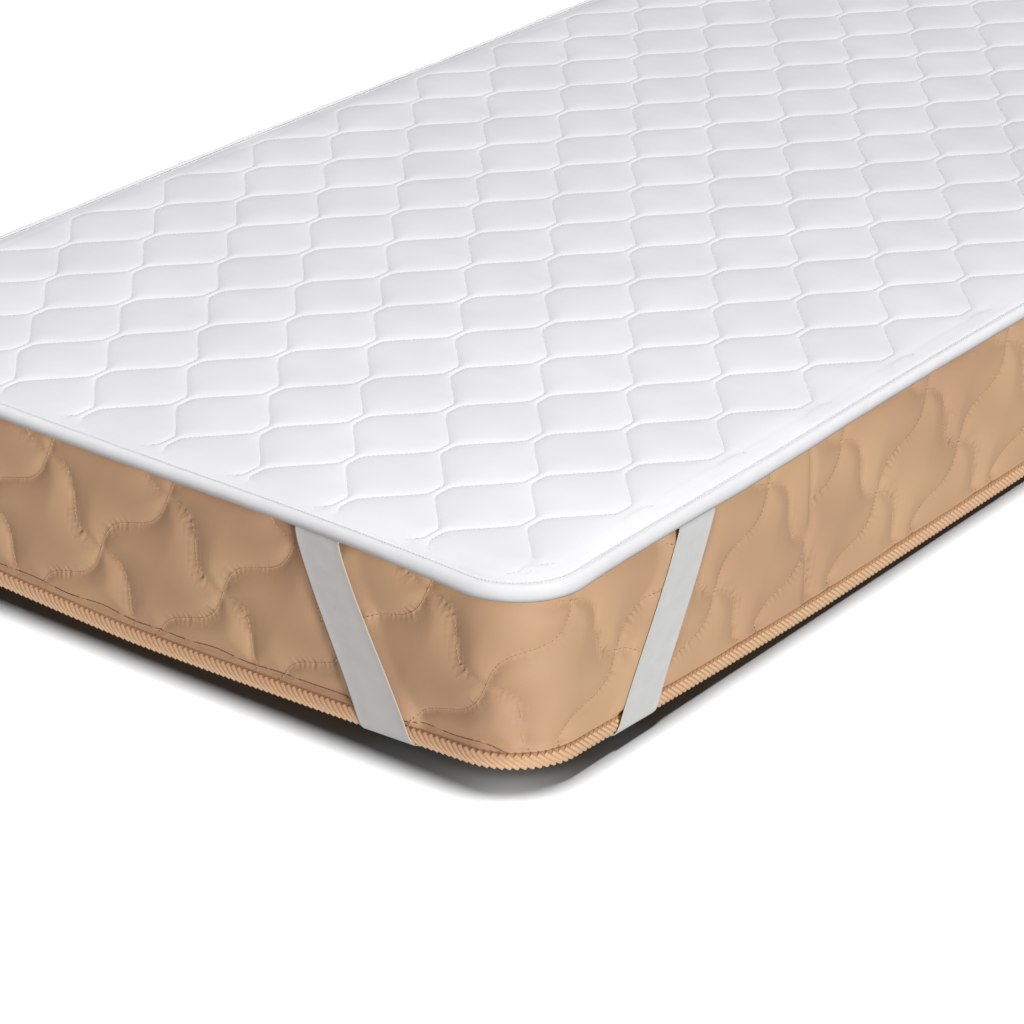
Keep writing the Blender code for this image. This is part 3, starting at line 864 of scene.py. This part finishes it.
def elastic_mesh(name, mirror_x, mirror_y):
    """One elastic as a closed band, mirrored to its corner."""
    rows = []
    for i, (outer, inner) in enumerate(near_rows):
        ahead, behind = near_rows[min(i + 1, len(near_rows) - 1)], near_rows[max(i - 1, 0)]
        normal = (ahead[0] + ahead[1] - behind[0] - behind[1]).cross(inner - outer).normalized()
        sides = [[], []]
        for share, thickness in ELASTIC_SECTION:
            middle = outer.lerp(inner, share)
            for side, sign in zip(sides, (1, -1)):
                side.append(middle + normal * (sign * thickness * ELASTIC_HALF))
        rows.append([Vector((p.x * mirror_x, p.y * mirror_y, p.z)) for p in sides[0] + sides[1][::-1]])
    widths = [share * ELASTIC_WIDTH for share, _ in ELASTIC_SECTION]
    band = woven_mesh(name, rows, elastic_marks, widths + widths[::-1] + [0.0], tube=True)
    close_mesh(band, lambda bm, edges: bmesh.ops.holes_fill(bm, edges=edges))
    return band


elastic_cloth, tree, shader = new_material("woven_polyester_elastic", 0.62, 0.1)
cloth = add_weave(shader, *ELASTIC_THREADS, 0.2 * MM, 0.35)
_, grey = uneven_colour(shader, cloth, ELASTIC_STREAKS, 2.0, (0.3, "#D2D2D0"), (0.7, "#D8D8D6"))
sides = add_node(tree, "ShaderNodeSeparateXYZ", {0: cloth})
off = add_node(tree, "ShaderNodeMath", {0: sides.outputs["Y"], 1: ELASTIC_WIDTH / 2}, operation="SUBTRACT")
from_middle = add_node(tree, "ShaderNodeMath", {0: off}, operation="ABSOLUTE")
edges = {"Value": from_middle, "From Min": SELVEDGE[0], "From Max": SELVEDGE[1]}
selvedge = add_node(tree, "ShaderNodeMapRange", edges)
colours = {0: selvedge, 6: grey, 7: linear("#CFCAC0")}  # how much of it, the band's and the selvedge's
feed(shader, {"Base Color": add_node(tree, "ShaderNodeMix", colours, data_type="RGBA").outputs[2]})
for end_name, mirror_y in (("foot", 1), ("head", -1)):
    for side_name, mirror_x in (("left", -1), ("right", 1)):
        corner = f"{end_name}_{side_name}"
        band = elastic_mesh(f"elastic_{corner}", mirror_x, mirror_y)
        dress(band, elastic_cloth, "elastic", f"strap_{corner}")

# %% [markdown]
# ## The mattress's side
#
# The mattress wears a satin cover, quilted with a running pattern of curved lines that cross in nodes. It
# is one pattern repeated round the whole border: from every node one line leaves downwards and one
# upwards, and each sways once to either side on its way to the next node. So two steps and two sways
# describe all of it. The border is a long strip, joined in a seam at the near corner's right.

# %% The lines of the border's pattern
PATTERN_WIDTH = 146.6 * MM
FIRST_NODE = Vector((-34 * MM, 86 * MM))  # along the outline and up
STEP_DOWN, SWAY_DOWN = Vector((63, -76)) * MM, Vector((9.24, 7.66)) * MM
STEP_UP, SWAY_UP = Vector((83.6, 76)) * MM, Vector((-6.4, 7.03)) * MM
JOIN_SEAM = 407 * MM  # along the outline, where the border's two ends meet
BORDER_FROM, BORDER_TO = 18.4 * MM, 181 * MM
LEVELS = (-1, 0, 1, 2)  # nodes above each other that the border's height takes in
LINE_POINT, SWAY_LENGTHENS = 0.6 * MM, 1.15
SHORTEST_RUN = 9  # points


def runs_where(points, shows, shortest):
    """The stretches of a line whose points show, without those of too few points."""
    runs = [[]]
    for point in points:
        if shows(point):
            runs[-1].append(point)
        else:
            runs.append([])
    return [run for run in runs if len(run) >= shortest]


def swaying_line(start, step, sway):
    """Points from one node to the next, swaying to one side and then to the other."""
    count = round(step.length * SWAY_LENGTHENS / LINE_POINT)
    shares = [i / count for i in range(count + 1)]
    return [start + step * t + sway * math.sin(2 * math.pi * t) for t in shares]


def on_border(point):
    """Whether a point lies on the strip, between its two ends and its two edges."""
    return JOIN_SEAM - PERIMETER < point.x < JOIN_SEAM and BORDER_FROM < point.y < BORDER_TO


border_lines, nodes = [], []
repeats = math.ceil(PERIMETER / PATTERN_WIDTH)
for repeat in range(-repeats - 2, 8):  # some too many at both ends, where they are cut off
    for level in LEVELS:
        node = FIRST_NODE + Vector((PATTERN_WIDTH * repeat, 0.0))
        node += STEP_UP * level if level >= 0 else STEP_DOWN
        nodes.append(node)
        for step, sway in ((STEP_DOWN, SWAY_DOWN), (STEP_UP, SWAY_UP)):
            border_lines += runs_where(swaying_line(node, step, sway), on_border, SHORTEST_RUN)
print("lines on the border:", len(border_lines))

# %% [markdown]
# Where the border is sewn to the ribbed tape at the foot and at the head, its satin folds over the seam.
# That fold is one more line on the strip. On the long sides the tape lies flat, and there is none. Every
# line's points go into a search tree, which later finds the nearest one to any place on the cloth.

# %% The fold above the tape, and a tree of all seams
FOLD_HEIGHT, FOLD_STRAY, FOLD_STEP = 24.5 * MM, 2.2 * MM, 2 * MM
FOLD_WAVES = 22  # in a metre
FOLD_DROP, FOLD_DROPS, FOLD_ENDS = 5.5 * MM, 0.99, 0.86  # it runs down into the tape at the corners
fold = []
for step in range(int(PERIMETER / FOLD_STEP)):
    along = JOIN_SEAM - PERIMETER + step * FOLD_STEP
    square = abs(outline(along)[1].y)  # 1 at the foot and at the head, 0 on the long sides
    if square > FOLD_ENDS:
        drop = FOLD_DROP * max(0.0, (FOLD_DROPS - square) / (FOLD_DROPS - FOLD_ENDS))
        stray = FOLD_STRAY * noise.noise((along * FOLD_WAVES, 0, 5))
        fold.append(Vector((along, FOLD_HEIGHT - drop + stray)))
creases = [*border_lines, fold]
seam_tree = kdtree.KDTree(sum(len(line) for line in creases))
seam_marks, seam_at = [], []
for line in creases:
    for mark, point in zip(lengths_along(line), line):
        seam_tree.insert((point.x, point.y, 0.0), len(seam_marks))
        seam_marks.append(mark)
        seam_at.append(point)
seam_tree.balance()
node_tree = kdtree.KDTree(len(nodes))
for index, node in enumerate(nodes):
    node_tree.insert((node.x, node.y, 0.0), index)
node_tree.balance()
print("points on seams:", len(seam_at), "with", len(fold), "on the fold")

# %% [markdown]
# The satin is pressed flat where an elastic runs over it, sewn down where it meets the tape and the
# topper, and puckers beside its stitches except where two lines cross. One function gives each of these.

# %% What shapes the side
SIDE_PROFILE = (
    (-8, 1.2), (-2, 3.2), (-2, 14), (-0.2, 19), (2.4, 32), (3.8, 60), (4.2, 104), (3.6, 142), (2.2, 164),
    (-1.5, 177), (-11, 186), (-26, 190),
)  # beyond the side and height, in mm, from the bottom up
HEIGHT_TO_OUT = [(height * MM, out * MM) for out, height in SIDE_PROFILE]
PROFILE_ROUNDING = 3 * MM
STITCHES_SUNK = 7.2 * MM
FADE_LOW, FADE_HIGH = 10 * MM, 16 * MM  # the relief grows over this from the border's two edges
ON_SATIN = [row for row in reversed(ELASTIC_WAY) if row[1] > 10]  # the elastic's way above the tape
SHARE_AT_HEIGHT = [(height * MM, share) for _, height, share in ON_SATIN]
OUT_AT_HEIGHT = [(height * MM, out * MM) for out, height, _ in ON_SATIN]
PRESSED_REACH, PRESSED_GAP = 16 * MM, 0.3 * MM
PUCKER_REACH = 8 * MM  # from the stitches
CALM_NODE, CALM_LOW = (11 * MM, 12 * MM), (32 * MM, 10 * MM)  # no puckers this near, and all that much on
PUCKER_PATCHES, PUCKER_CONTRAST = 16, 2.4  # patches of puckers in a metre, and how clearly they end


def pucker(flat, distance):
    """How strongly the satin puckers: beside its stitches, but not where two lines cross."""
    from_node = node_tree.find((flat.x, flat.y, 0.0))[2]
    beside = max(0.0, 1.0 - distance / PUCKER_REACH)
    clear = clamp(min((from_node - CALM_NODE[0]) / CALM_NODE[1], (flat.y - CALM_LOW[0]) / CALM_LOW[1]))
    patch = noise.noise((flat.x * PUCKER_PATCHES, flat.y * PUCKER_PATCHES, 1))
    return beside * clear * clamp(0.5 + PUCKER_CONTRAST * patch)


def border_fade(height):
    """1 over most of the side, 0 where the border is sewn to the tape and under the topper."""
    low, high = clamp((height - BORDER_FROM) / FADE_LOW), clamp((BORDER_TO - height) / FADE_HIGH)
    return low * (2 - low) * high * (2 - high)


def side_out(height):
    """How far the side stands out at a height, rounded over the profile's corners."""
    near = [height + step * PROFILE_ROUNDING for step in (-2, -1, 0, 1, 2)]
    return sum(interpolate(HEIGHT_TO_OUT, level) for level in near) / len(near)


def under_elastic(x, y, away, height):
    """1 where an elastic presses on the side and 0 well beside it."""
    on_end = abs(away.y) > abs(away.x)
    from_corner = HALF_WIDTH - abs(x) if on_end else HALF_LENGTH - abs(y)
    share = interpolate(SHARE_AT_HEIGHT, height)
    outer_up, outer_low, inner_up, inner_low = (step * MM for step in (ON_END if on_end else ON_SIDE))
    outer = outer_up + (outer_low - outer_up) * share
    inner = inner_up + (inner_low - inner_up) * share
    beside = max(outer - from_corner, from_corner - inner, 0.0)
    near = max(0.0, 1.0 - beside / PRESSED_REACH)
    return near * near * (3 - 2 * near)


def border_point(along, height):
    """The place of a point of the border at the level of its stitches, its way out, and how pressed it is."""
    corner_point, away = outline(along)
    pressed = under_elastic(*corner_point, away, height)
    free = side_out(height) - STITCHES_SUNK * border_fade(height)
    flat = interpolate(OUT_AT_HEIGHT, height) - ELASTIC_HALF - PRESSED_GAP
    out = free + (flat - free) * pressed * border_fade(height)
    return lifted_point(along, out, height), Vector((*away, 0.0)), pressed


print("the side stands out", round(side_out(HEIGHT / 2) / MM, 1), "mm at half its height")

# %% [markdown]
# The strip's mesh is a regular grid, but a grid point that lies close to a line is moved onto it. Without
# that a crease would climb across the grid in little steps. The profile of the side gives the level of
# the stitches, and the swelling tree lifts the satin between them.

# %% The border as a grid that follows its seams
BORDER_COLUMN, BORDER_ROW = 4.2 * MM, 4 * MM
SNAP_REACH = 1.9 * MM
JOIN_DIP, JOIN_SOFTNESS = 0.55, 3.5 * MM  # the swelling is less beside the join
JOIN_SHIFT, JOIN_SWAY, JOIN_WAVE, JOIN_COLUMNS = -0.4 * MM, 1.6 * MM, 18 * MM, 5
SAME_SEAM = 12 * MM  # two neighbours whose places along their seams differ by more are at two seams


def join_wander(height):
    """How far the seam that joins the strip's ends strays sideways at a height."""
    return JOIN_SHIFT - JOIN_SWAY * (1 + math.sin(height / JOIN_WAVE))


def at_one_seam(index):
    """Whether a grid point and the four beside it are nearest to the same seam."""
    steps = (-len(heights), -1, 1, len(heights))
    marks = [border_data[(index + step) % len(border_data)][1] for step in steps]
    return all(abs(border_data[index][1] - mark) <= SAME_SEAM for mark in marks)


column_count = round(PERIMETER / BORDER_COLUMN)
starts = [JOIN_SEAM - PERIMETER + mark for mark in stations_round(column_count)[:-1]]
row_count = round((BORDER_TO - BORDER_FROM) / BORDER_ROW)
heights = [BORDER_FROM + (BORDER_TO - BORDER_FROM) * row / row_count for row in range(row_count + 1)]
border_rows, border_data = [], []
for column, start in enumerate(starts):
    points = []
    from_join = min(column, column_count - column) * BORDER_COLUMN
    follows = max(0.0, 1.0 - from_join / (JOIN_COLUMNS * BORDER_COLUMN))
    dip = 1.0 - JOIN_DIP * math.exp(-from_join / JOIN_SOFTNESS)
    for height in heights:
        flat = Vector((start + join_wander(height) * follows, height))
        _, nearest, distance = seam_tree.find((flat.x, flat.y, 0.0))
        if distance < SNAP_REACH and heights[0] < height < heights[-1]:
            flat, distance = seam_at[nearest], 0.0
        point, away, pressed = border_point(*flat)
        points.append(point)
        rise_here = away * border_fade(flat.y) * dip * (1.0 - pressed)
        border_data.append((distance, seam_marks[nearest], rise_here, pucker(flat, distance)))
    border_rows.append(points)
border_data = [
    (*item[:3], item[3] if at_one_seam(index) else 0.0) for index, item in enumerate(border_data)
]
print("border grid:", column_count, "by", row_count)

# %% [markdown]
# Below the border the side goes on behind the tape and turns under the mattress; above it, it turns in
# under the topper. A few more rows do that, and two flat faces close the mattress.

# %% Close the mattress
BELOW = ((-12, 0), (-8, 1.2), (-2.4, 3.2), (-2, 11), (-1.4, 15))
ABOVE = ((-11, 186), (-17, 188.6), (-26, 190))


def lifted_row(along, table):
    """A row of lifted points, from a table of their places in mm."""
    return [lifted_point(along, out * MM, height * MM) for out, height in table]


def close_top_and_bottom(bm, edges):
    """One flat face for each of the two open rims."""
    for low in (True, False):
        ring_edges = [edge for edge in edges if (edge.verts[0].co.z < HEIGHT / 2) == low]
        bmesh.ops.contextual_create(bm, geom=ring_edges)


body_rows, body_data = [], []
nothing = (0.0, 0.0, Vector((0.0, 0.0, 0.0)), 0.0)
per_column = len(heights)
for column, (start, points) in enumerate(zip(starts, border_rows)):
    body_rows.append(lifted_row(start, BELOW) + points + lifted_row(start, ABOVE))
    on_strip = border_data[column * per_column : (column + 1) * per_column]
    body_data += [nothing] * len(BELOW) + on_strip + [nothing] * len(ABOVE)
up_marks = [height * MM for _, height in BELOW] + heights + [height * MM for _, height in ABOVE]
side = woven_mesh("mattress_side", body_rows, stations_round(column_count), up_marks, ring=True)
close_mesh(side, close_top_and_bottom)
for name, values in zip(("to_seam", "along_seam", "rise", "pucker"), zip(*body_data)):
    write_attribute(side, name, values)
print("mattress side:", len(side.data.polygons), "faces")

# %% [markdown]
# ## Satin
#
# The border is polyester satin on a thin foam. Satin has long loose threads on its face, so it shines more
# than a plain weave, softly and in the threads' direction, and folds into fine puckers beside every
# stitch. The colour is a warm tan, a little rosier where the nap is pressed. The puckers are short waves
# along the seam, read from the stored distances, which die out within a centimetre.

# %% The satin's material
MOTTLE = 7.0  # in a metre: a patch is about 140 mm wide
PUCKERS = 210.0  # in a metre: one takes 5 mm of the seam
SATIN_THREADS = (900.0, 40.0, 1.0)  # in a metre: drawn 1.1 mm apart and 25 mm long, coarse enough to show
SIDE_SWELLING = {
    "Puff": 6.8 * MM, "Softness": 16 * MM, "Lip": 0.7 * MM, "Lip softness": 2.5 * MM,
    "Unevenness": 1.8 * MM, "Lumps": 14.0,
}

satin, tree, shader = new_material("quilted_polyester_satin", 0.6, 0.3)
feed(shader, {"Specular IOR Level": 0.28, "Sheen Tint": linear("#F2D2B0")})
where = add_node(tree, "ShaderNodeTexCoord").outputs["Object"]
uneven_colour(shader, where, MOTTLE, 2.0, (0.35, "#C59F7F"), (0.65, "#CFAA85"))
along = add_node(tree, "ShaderNodeAttribute", attribute_name="along_seam").outputs["Fac"]
share = add_node(tree, "ShaderNodeAttribute", attribute_name="pucker").outputs["Fac"]
on_seam = add_node(tree, "ShaderNodeCombineXYZ", {0: along})
puckers = add_node(tree, "ShaderNodeTexNoise", {"Vector": on_seam, "Scale": PUCKERS, "Detail": 0.0})
folds = add_node(tree, "ShaderNodeMath", {0: puckers, 1: share}, operation="MULTIPLY")
puckered = add_node(tree, "ShaderNodeBump", {"Height": folds, "Distance": 3 * MM, "Strength": 1.0})
cloth = add_node(tree, "ShaderNodeUVMap", uv_map="cloth")
stretched = add_node(tree, "ShaderNodeMapping", {"Vector": cloth, "Scale": SATIN_THREADS})
thread = add_node(tree, "ShaderNodeTexNoise", {"Vector": stretched, "Scale": 1.0, "Detail": 1.0})
fine = {"Height": thread, "Distance": 0.12 * MM, "Strength": 0.5, "Normal": puckered}
feed(shader, {"Normal": add_node(tree, "ShaderNodeBump", fine)})
bake_tree(side, swelling, satin, SIDE_SWELLING)
dress(side, satin, "mattress_fabric", "mattress_body")

# %% [markdown]
# ## The ribbed tape round the bottom
#
# The border and the bottom panel are joined under a thick ribbed tape, in which a cord is wound slantwise
# over a flat ground. The ground is a ring of sections, as the binding is, a little behind the ribs. Its
# colour is a little darker than the ribs': painted shade for the valleys between them.

# %% The tape's ground
CORE_SPACING = 8 * MM
CORE_SECTION = (
    (-2, 4.4), (0.9, 4.7), (2.6, 6.6), (3.6, 9), (3.9, 11), (3.6, 13), (2.4, 15.6), (1.2, 17.8),
    (0.2, 18.8), (-2, 19.4),
)  # beyond the side and height, in mm

tape_stations = stations_round(round(PERIMETER / CORE_SPACING))
core_rows = [lifted_row(along, CORE_SECTION) for along in tape_stations[:-1]]
core = woven_mesh(
    "tape_core", core_rows, tape_stations, round_section(CORE_SECTION), ring=True, tube=True
)
close_mesh(core)
ground, tree, shader = new_material("rayon_tape_ground_painted_shade", 0.6, 0.2)
# painted shade: the ground is a little darker than the ribs, for the shade in the valleys between them
feed(shader, {"Base Color": linear("#D8AB84")})
dress(core, ground, "mattress_tape", "mattress_tape")

# %% [markdown]
# ## Short cords in a row
#
# The tape's winding is one short rib, repeated more than a thousand times, and a seam is one short stitch,
# repeated as often. Both are a piece of cord bowed over the cloth, so one Geometry Nodes tree makes both.
# A line becomes a curve, points are set on it at the machine's pitch, and one cord stands on every point,
# turned along the line and up from the cloth.

# %% The tree of cords in a row
def path_mesh(name, lines):
    """Lines of points and of the ways that the cloth faces there, as a mesh of loose edges."""
    places, edges = [], []
    for line in lines:
        edges += [(len(places) + i, len(places) + i + 1) for i in range(len(line) - 1)]
        places += line
    mesh = bpy.data.meshes.new(name)
    mesh.from_pydata([point for point, _ in places], edges, [])
    path = link_mesh(name, mesh)
    write_attribute(path, "facing", [facing for _, facing in places])
    return path


cords, given = new_tree("cords_in_a_row", "Pitch", "Along", "Across", "Bow", "Radius", "Bends", "Sides")
line = add_node(cords, "GeometryNodeMeshToCurve", {0: given["Geometry"]})
pitched = {"Curve": line, "Length": given["Pitch"]}
spots = add_node(cords, "GeometryNodeResampleCurve", pitched, mode="LENGTH")
reach = add_node(cords, "ShaderNodeCombineXYZ", {0: given["Along"], 1: given["Across"]})
start = add_node(cords, "ShaderNodeVectorMath", {0: reach, "Scale": -0.5}, operation="SCALE")
end = add_node(cords, "ShaderNodeVectorMath", {0: reach, "Scale": 0.5}, operation="SCALE")
bow = add_node(cords, "ShaderNodeCombineXYZ", {2: given["Bow"]})
bowed = {"Resolution": given["Bends"], "Start": start, "Middle": bow, "End": end}
arc = add_node(cords, "GeometryNodeCurveQuadraticBezier", bowed)
twine = {"Resolution": given["Sides"], "Radius": given["Radius"]}
section = add_node(cords, "GeometryNodeCurvePrimitiveCircle", twine)
swept = {"Curve": arc, "Profile Curve": section, "Fill Caps": True}
cord = add_node(cords, "GeometryNodeSetShadeSmooth", {0: add_node(cords, "GeometryNodeCurveToMesh", swept)})
facing = add_node(cords, "GeometryNodeInputNamedAttribute", {"Name": "facing"}, data_type="FLOAT_VECTOR")
upright = add_node(cords, "FunctionNodeAlignRotationToVector", {"Vector": facing}, axis="Z")
way = {"Rotation": upright, "Vector": add_node(cords, "GeometryNodeInputTangent")}
turned = add_node(cords, "FunctionNodeAlignRotationToVector", way, axis="X", pivot_axis="Z")
standing = {"Points": spots, "Instance": cord, "Rotation": turned}
close_tree(cords, add_node(cords, "GeometryNodeInstanceOnPoints", standing), given["Material"])
print("tree of cords:", len(cords.nodes), "nodes")

# %% [markdown]
# The tape's cord is spun from shiny rayon, paler than the satin beside it. Its yarn is a plain noise. The
# valleys between the ribs are darkened by their own shade, and the ground under them is also painted a little
# darker than the ribs, as painted shade.

# %% Wind the ribs
YARN = 420.0  # in a metre: drawn 2.4 mm wide, about five times too coarse, so that it shows
RIB_LINE = 0.3 * MM, 11 * MM  # where the ribs' ends lie beyond the side, and their middle's height
RIB_LINE_POINTS = 1400
RIBS = {  # a rib leans back along the tape as it climbs across it
    "Pitch": 6.4 * MM, "Along": -15.5 * MM, "Across": 11.8 * MM, "Bow": 4.1 * MM, "Radius": 2.3 * MM,
    "Bends": 6, "Sides": 8,
}

rayon, tree, shader = new_material("ribbed_rayon_tape", 0.55, 0.2)
where = add_node(tree, "ShaderNodeTexCoord").outputs["Object"]
yarn, _ = uneven_colour(shader, where, YARN, 2.0, (0.3, "#DCB189"), (0.7, "#E6BF98"))
spun = {"Height": yarn, "Distance": 0.25 * MM, "Strength": 0.5}
feed(shader, {"Normal": add_node(tree, "ShaderNodeBump", spun)})
rib_line = [
    (lifted_point(along, *RIB_LINE), (*outline(along)[1], 0.0)) for along in stations_round(RIB_LINE_POINTS)
]
winding = path_mesh("ribbed_tape", [rib_line])
bake_tree(winding, cords, rayon, RIBS)
dress(winding, rayon, "mattress_tape", "mattress_tape")

# %% [markdown]
# ## Stitches
#
# Lockstitches show as short thread arcs, a few millimetres long, that dip into the cloth at both ends. The
# tree of cords makes them at the machine's stitch length. An arc has three points and a three-sided thread,
# because there are thousands of them.
#
# The thread is spun polyester in the colour of its cloth: white in the topper, tan in the border. The tan
# thread is paler than the satin: partly its own colour and partly painted highlight, where the stitches catch
# the light. The brown seam along the tape's fold is darker than its cloth: a real seam, whose colour is
# painted shade of the fold. Spun thread is matt with a faint gloss, and too thin to show more than its
# colour.

# %% Thread, and how it is sewn
PLIES = 90.0  # in a metre: the colour changes about every 11 mm
UP = (0.0, 0.0, 1.0)


def thread_material(name, colour, pale):
    """Spun polyester thread: its colour wavers a little along the seam."""
    material, tree, shader = new_material(name, 0.5, 0.2)
    where = add_node(tree, "ShaderNodeTexCoord").outputs["Object"]
    uneven_colour(shader, where, PLIES, 2.0, (0.0, colour), (1.0, pale))
    return material


def sew(name, lines, thread, slot, length, gap, radius, lift):
    """Sews lines of (point, facing), with the stitches' sizes in mm."""
    seam = path_mesh(name, lines)
    sizes = {"Pitch": length * MM, "Along": (length - gap) * MM, "Bow": lift * MM, "Radius": radius * MM}
    bake_tree(seam, cords, thread, {**sizes, "Bends": 2, "Sides": 3})
    dress(seam, thread, slot)


white_thread = thread_material("white_spun_polyester_thread", "#E6E6EA", "#F4F4F6")
# painted highlight: the tan thread is paler than the satin, partly its own colour and partly where the
# stitches catch the light
tan_thread_painted_highlight = thread_material("tan_thread_with_painted_highlight", "#D3AA84", "#E8C6A0")
# painted shade: the brown thread is darker than its cloth, and stands for the shade along the tape's fold
brown_thread_painted_shade = thread_material("brown_thread_with_painted_fold_shade", "#A8826A", "#BA9376")
print("threads: white, tan and brown")

# %% [markdown]
# The quilting's stitches lie on the sewn lines, in the bottom of their grooves, and end where the relief
# fades out towards the binding.

# %% Sew the quilting
LINE_STEP = 5 * MM
SEWN_FADE = 0.3  # no stitch shows where less of the relief is left
THREAD_RISE = 0.1 * MM  # the seam runs this far above the cloth
SHORTEST_SEAM = 4  # points

quilt_seams = []
for number in SEWN_LINES:
    ys = [-HALF_LENGTH + step * LINE_STEP for step in range(round(2 * HALF_LENGTH / LINE_STEP) + 1)]
    flat_line = [(sewn_line(number, y), y) for y in ys]
    for run in runs_where(flat_line, lambda point: relief_fade(*point) > SEWN_FADE, SHORTEST_SEAM):
        quilt_seams.append([(Vector((x, y, panel_top(x, y) + THREAD_RISE)), UP) for x, y in run])
sew("quilt_stitches", quilt_seams, white_thread, "topper_fabric", length=4.2, gap=0.9, radius=0.3, lift=0.7)

# %% [markdown]
# The border's stitches follow its lines. Along the fold the tape is sewn on with longer stitches in a brown
# thread. The thread is darker than the cloth, as painted shade of the fold, and that seam is broken where the
# fold ends at the long sides.

# %% Sew the border and the fold
SEWN_POINTS = 5  # every fifth point of a line is enough for its curve


def on_side(line, rise):
    """A line of the strip as places on the mattress's side, `rise` mm off the cloth."""
    placed = [border_point(*flat) for flat in line]
    return [(point + away * rise * MM, away) for point, away, _ in placed]


fold_lines = [[]]
for before, flat in zip([fold[0], *fold], fold):
    if flat.x - before.x > 2 * FOLD_STEP:
        fold_lines.append([])
    fold_lines[-1].append(flat)
border_seams = [on_side(line[::SEWN_POINTS], 0.1) for line in border_lines]
fold_seams = [on_side(line, 0.9) for line in fold_lines]
sew(
    "border_stitches_painted_highlight", border_seams, tan_thread_painted_highlight, "mattress_fabric",
    length=4.0, gap=0.8, radius=0.32, lift=0.9,
)
sew("tape_stitches_painted_shade", fold_seams, brown_thread_painted_shade, "mattress_fabric", length=6.5, gap=0.5, radius=0.6, lift=0.7)

# %% [markdown]
# One seam holds the binding, close to its inner edge. It is the only row of stitches on the topper that
# goes all the way round.

# %% Sew the binding
SEAM_RISE = 4.35 * MM  # above the rim's middle

binding_seam = []
for along in stations:
    corner_point, away = outline(along)
    x, y = corner_point + away * (SEAM_ACROSS * MM)
    binding_seam.append((Vector((x, y, rim_height(x, y, SEAM_ACROSS * MM) + SEAM_RISE)), UP))
sew(
    "binding_stitches", [binding_seam], white_thread, "binding_tape",
    length=3.4, gap=0.8, radius=0.28, lift=0.6,
)
